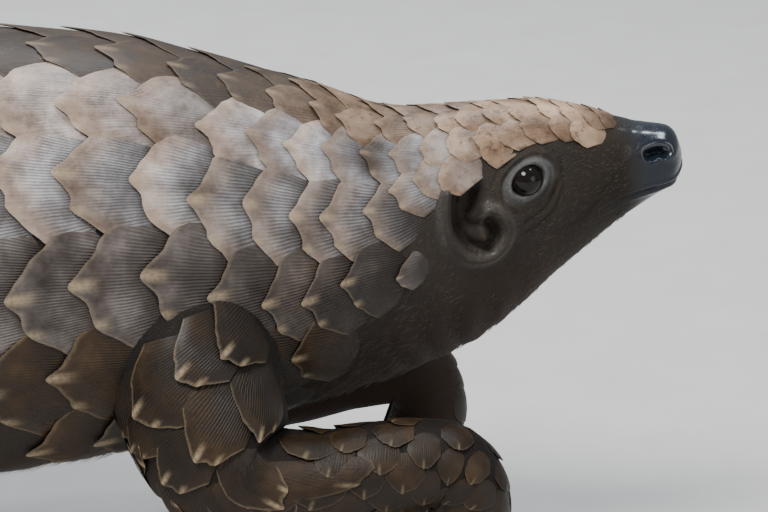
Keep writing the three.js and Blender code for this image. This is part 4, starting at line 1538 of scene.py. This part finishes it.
def scale_material():
    """Horn with lines that fan out from the root, a worn smooth margin and pale points"""
    made, tree, shader, place = new_material("scale_horn")
    uv = node(tree, "UVMap", uv_map="ScaleUV").outputs["UV"]
    parts = node(tree, "SeparateXYZ", {0: uv}).outputs
    u, v = parts[0], parts[1]
    tone, brown_and_shade, sandy, dull_and_shaded, stria, lines, cusp = (attribute(tree, name) for name in SCALE_VALUES)
    across = maths(tree, "SUBTRACT", u, 0.5)
    wave = striae(tree, across, lines, place)
    streak = stretched_noise(tree, u, v, tone, (40.0, 1.0), 3)
    growth = stretched_noise(tree, u, v, tone, (1.0, 22.0), 2)
    lined = times(tree, between(tree, v, 0.68, 0.92, 1.0, 0.12), stria)
    groove = times(tree, maths(tree, "SUBTRACT", 1.0, wave), lined)
    mottle = noise(tree, place, 95, 6, 0.62)
    patches = noise(tree, place, 28, 3)
    speck = noise(tree, place, 900, 2)

    root = times(tree, between(tree, v, 0.36, 0.7, 0.75, 0.0), between(tree, stria, 0.1, 0.6, 0.3, 1.0))
    tan = times(tree, between(tree, v, 0.62, 0.95), between(tree, brown_and_shade, 0.0, 0.8, 0.68, 0.0))
    base = layered(
        tree,
        horn_colour(tree, brown_and_shade, sandy, mottle),
        (groove, 0.5, DARK_HORN),
        (between(tree, streak, 0.5, 0.75), 0.3, BROWN_HORN[1][1]),
        (root, 1.0, DARK_HORN),
        (tan, 1.0, ramp(tree, mottle, SANDY_HORN)),
    )
    patched = between(tree, patches, 0.3, 0.7, 0.75, 1.25)
    shade = times(tree, between(tree, tone, 0.0, 1.0, 0.74, 1.2), patched)
    # painted shade: the back, the neck and the limbs are darkened here
    shade = times(tree, shade, between(tree, dull_and_shaded, 0.0, 1.0, 1.0, 0.18))
    base = mixed(tree, 1.0, base, shade, "MULTIPLY")
    dirt = times(tree, between(tree, noise(tree, place, 360, 5, 0.72), 0.54, 0.68), sandy)
    base = layered(
        tree,
        base,
        (dirt, 0.75, BROWN_HORN[2][1]),
        (pale_points(tree, u, v, cusp, stria, mottle, speck), 1.0, PALE_POINT),
        # Painted shade: the thin sides of each scale's upper face, its rim and its whole underside go dark,
        # as the gaps between scales lie in shadow
        (between(tree, maths(tree, "ABSOLUTE", across), 0.46, 0.5), 0.5, DARK_HORN),
        (between(tree, v, 1.02, 1.12), 1.0, DARK_HORN),
    )
    tree.links.new(base, shader.inputs["Base Color"])

    worn = weighted(tree, (groove, 0.12), (dull_and_shaded, 0.25))
    rough = plus(tree, between(tree, mottle, 0.3, 0.7, 0.30, 0.5), worn)
    tree.links.new(rough, shader.inputs["Roughness"])
    shader.inputs["Coat Weight"].default_value = 0.05
    shader.inputs["Coat Roughness"].default_value = 0.25
    shader.inputs["Specular IOR Level"].default_value = 0.32
    ridges = times(tree, wave, lined)
    height = weighted(tree, (ridges, 1.0), (growth, 0.6), (speck, 0.25), (mottle, 1.2), (streak, 0.5))
    relief(tree, shader, height, 0.00024, 0.9)
    return made


def skin_material():
    """Bare hide: dark and finely creased on the face, warmer below, wet and blue-black at the nose"""
    made, tree, shader, place = new_material("skin_hide")
    nose, lid, wet, hollow, rim, lips = (attribute(tree, name) for name in SKIN_VALUES[:6])
    warm, crown, foot, under, upper = (attribute(tree, name) for name in SKIN_VALUES[6:])
    mottle = noise(tree, place, 70, 6, 0.6)
    fine = noise(tree, place, 900, 5, 0.65)
    inputs = {"Vector": place, "Scale": 1100.0, "Randomness": 1.0}
    cells = node(tree, "TexVoronoi", inputs, feature="DISTANCE_TO_EDGE")
    crease = between(tree, cells.outputs["Distance"], 0.0, 0.2)

    base = layered(
        tree,
        ramp(tree, mottle, [(0.32, FACE_DARK), (0.7, FACE_LIGHT)]),
        (warm, 0.9, THROAT),
        (foot, 0.25, EAR_BROWN),
        (crown, 0.15, EAR_BROWN),
        # partly painted highlight: the ear's rim is made pale
        (rim, 0.75, EAR_RIM_PALE_AND_HIGHLIGHT),
        (lid, 0.8, LID_GREY),
        (between(tree, fine, 0.35, 0.7, 1.0, 0.0), 0.4, FACE_DARK),
        (lips, 0.3, LID_GREY),
        (nose, 1.0, NOSE),
        # painted shade in the ear's hollow and the nostril
        (hollow, 0.9, HOLLOW_SHADE),
    )
    # painted shade: the skin among the scales is darkened, as it lies in their shadow
    base = mixed(tree, 1.0, base, between(tree, under, 0.0, 1.0, 1.0, 0.3), "MULTIPLY")
    tree.links.new(base, shader.inputs["Base Color"])

    rough = between(tree, fine, 0.3, 0.7, 0.62, 0.8)
    for gloss, share in ((nose, 0.48), (wet, 0.46), (rim, 0.42)):
        rough = maths(tree, "SUBTRACT", rough, times(tree, gloss, share), clamp=True)
    tree.links.new(rough, shader.inputs["Roughness"])
    shine = times(tree, nose, between(tree, upper, 0.0, 1.0, 0.15, 1.0))
    moist = most(tree, shine, times(tree, wet, 0.6), times(tree, rim, 0.5))
    tree.links.new(moist, shader.inputs["Coat Weight"])
    shader.inputs["Coat Roughness"].default_value = 0.14
    shader.inputs["Specular IOR Level"].default_value = 0.3
    height = weighted(tree, (crease, 0.35), (fine, 0.6), (mottle, 1.3))
    calm = between(tree, most(tree, nose, rim), 0.0, 1.0, 1.0, 0.15)
    relief(tree, shader, times(tree, height, calm), 0.0003, 0.8)
    return made


def hair_material():
    """Short pale hair, darker at its root"""
    made, tree, shader, place = new_material("hair_pale")
    uv = node(tree, "UVMap", uv_map="HairUV").outputs["UV"]
    up = node(tree, "SeparateXYZ", {0: uv}).outputs[1]
    shade = ramp(tree, up, HAIR_SHADES)
    shade = mixed(tree, 1.0, shade, between(tree, noise(tree, place, 60, 3), 0.3, 0.7, 0.6, 1.2), "MULTIPLY")
    tree.links.new(shade, shader.inputs["Base Color"])
    shader.inputs["Roughness"].default_value = 0.5
    return made


def eye_material():
    """Wet black with a dark brown iris that hardly shows"""
    made, tree, shader, place = new_material("eye_wet")
    shade = ramp(tree, noise(tree, place, 500, 2), EYE_SHADES)
    tree.links.new(shade, shader.inputs["Base Color"])
    tree.links.new(between(tree, noise(tree, place, 90, 1), 0.3, 0.7, 0.03, 0.07), shader.inputs["Roughness"])
    shader.inputs["IOR"].default_value = 1.33
    return made


def claw_material():
    """Dark horn with fine lines along it and worn paler parts"""
    made, tree, shader, place = new_material("claw_horn")
    stretch = node(tree, "Mapping", {"Vector": place, "Scale": (60.0, 900.0, 900.0)}).outputs[0]
    grain = noise(tree, stretch, 1.0, 4)
    worn = noise(tree, place, 160, 4)
    shade = ramp(tree, worn, CLAW_SHADES)
    shade = mixed(tree, between(tree, grain, 0.4, 0.7, 0.0, 0.4), shade, CLAW_GRAIN)
    tree.links.new(shade, shader.inputs["Base Color"])
    tree.links.new(between(tree, grain, 0.3, 0.7, 0.3, 0.5), shader.inputs["Roughness"])
    relief(tree, shader, grain, 0.0002)
    return made


def floor_material():
    made, tree, shader, place = new_material("floor_pale")
    shade = ramp(tree, noise(tree, place, 30, 5), FLOOR_SHADES)
    tree.links.new(shade, shader.inputs["Base Color"])
    shader.inputs["Roughness"].default_value = 0.9
    return made


# Stage, light and camera


def build_floor():
    corners = [(x * FLOOR_HALF, y * FLOOR_HALF, 0) for x, y in ((-1, -1), (1, -1), (1, 1), (-1, 1))]
    mesh = bpy.data.meshes.new("floor")
    mesh.from_pydata(corners, [], [(0, 1, 2, 3)])
    mesh.materials.append(floor_material())
    made = linked("floor", mesh)


def aimed(made, place, target):
    made.location = place
    made.rotation_euler = (Vector(target) - Vector(place)).to_track_quat("-Z", "Y").to_euler()


def add_light(name, place, target, size, power, shade):
    lamp = bpy.data.lights.new(name, "AREA")
    lamp.shape = "DISK"
    lamp.size = size
    lamp.energy = power
    lamp.color = shade
    aimed(linked(name, lamp), place, target)


def build_light():
    for lamp in LAMPS:
        add_light(*lamp)
    world = bpy.data.worlds.new("studio")
    world.use_nodes = True
    background = world.node_tree.nodes["Background"]
    background.inputs["Color"].default_value = SKY
    background.inputs["Strength"].default_value = SKY_STRENGTH
    bpy.context.scene.world = world


def build_camera():
    lens = bpy.data.cameras.new("camera")
    lens.sensor_width = SENSOR_WIDTH
    lens.lens = SENSOR_WIDTH * CAMERA_DISTANCE / FIELD_WIDTH
    made = linked("camera", lens)
    down = math.radians(CAMERA_ELEVATION)
    aim = np.array(CAMERA_AIM, float)
    eye = aim + CAMERA_DISTANCE * np.array([0, -math.cos(down), math.sin(down)])
    aimed(made, tuple(eye * METRES + OFFSET), tuple(aim * METRES + OFFSET))
    bpy.context.scene.camera = made


def build_animal():
    horn, hide, hair, claw = scale_material(), skin_material(), hair_material(), claw_material()
    eye = eye_material()
    build_skin(hide)
    places = body_places()
    for name, start, end, columns, rows in BODY_PIECES:
        chosen = (places["along"] >= start) & (places["along"] < end)
        build_scales(name, body_surface, some_of(places, chosen), BODY_STEP, horn, columns, rows)
    for side in MIRROR:
        for part in LIMB_SCALES:
            surface, limb = limb_places(part, side)
            build_scales(f"scales_{part}_{side}", surface, limb, LIMB_STEP, horn, *LIMB_GRID)
        for kind in LIMBS:
            for i in range(len(CLAWS[kind]["sizes"])):
                build_claw(kind, side, i, claw)
    for side in MIRROR:
        build_eye(side, eye)
    for name in HAIR_PATCHES:
        build_hair(name, hair)


build_camera()
build_light()
build_floor()
build_animal()
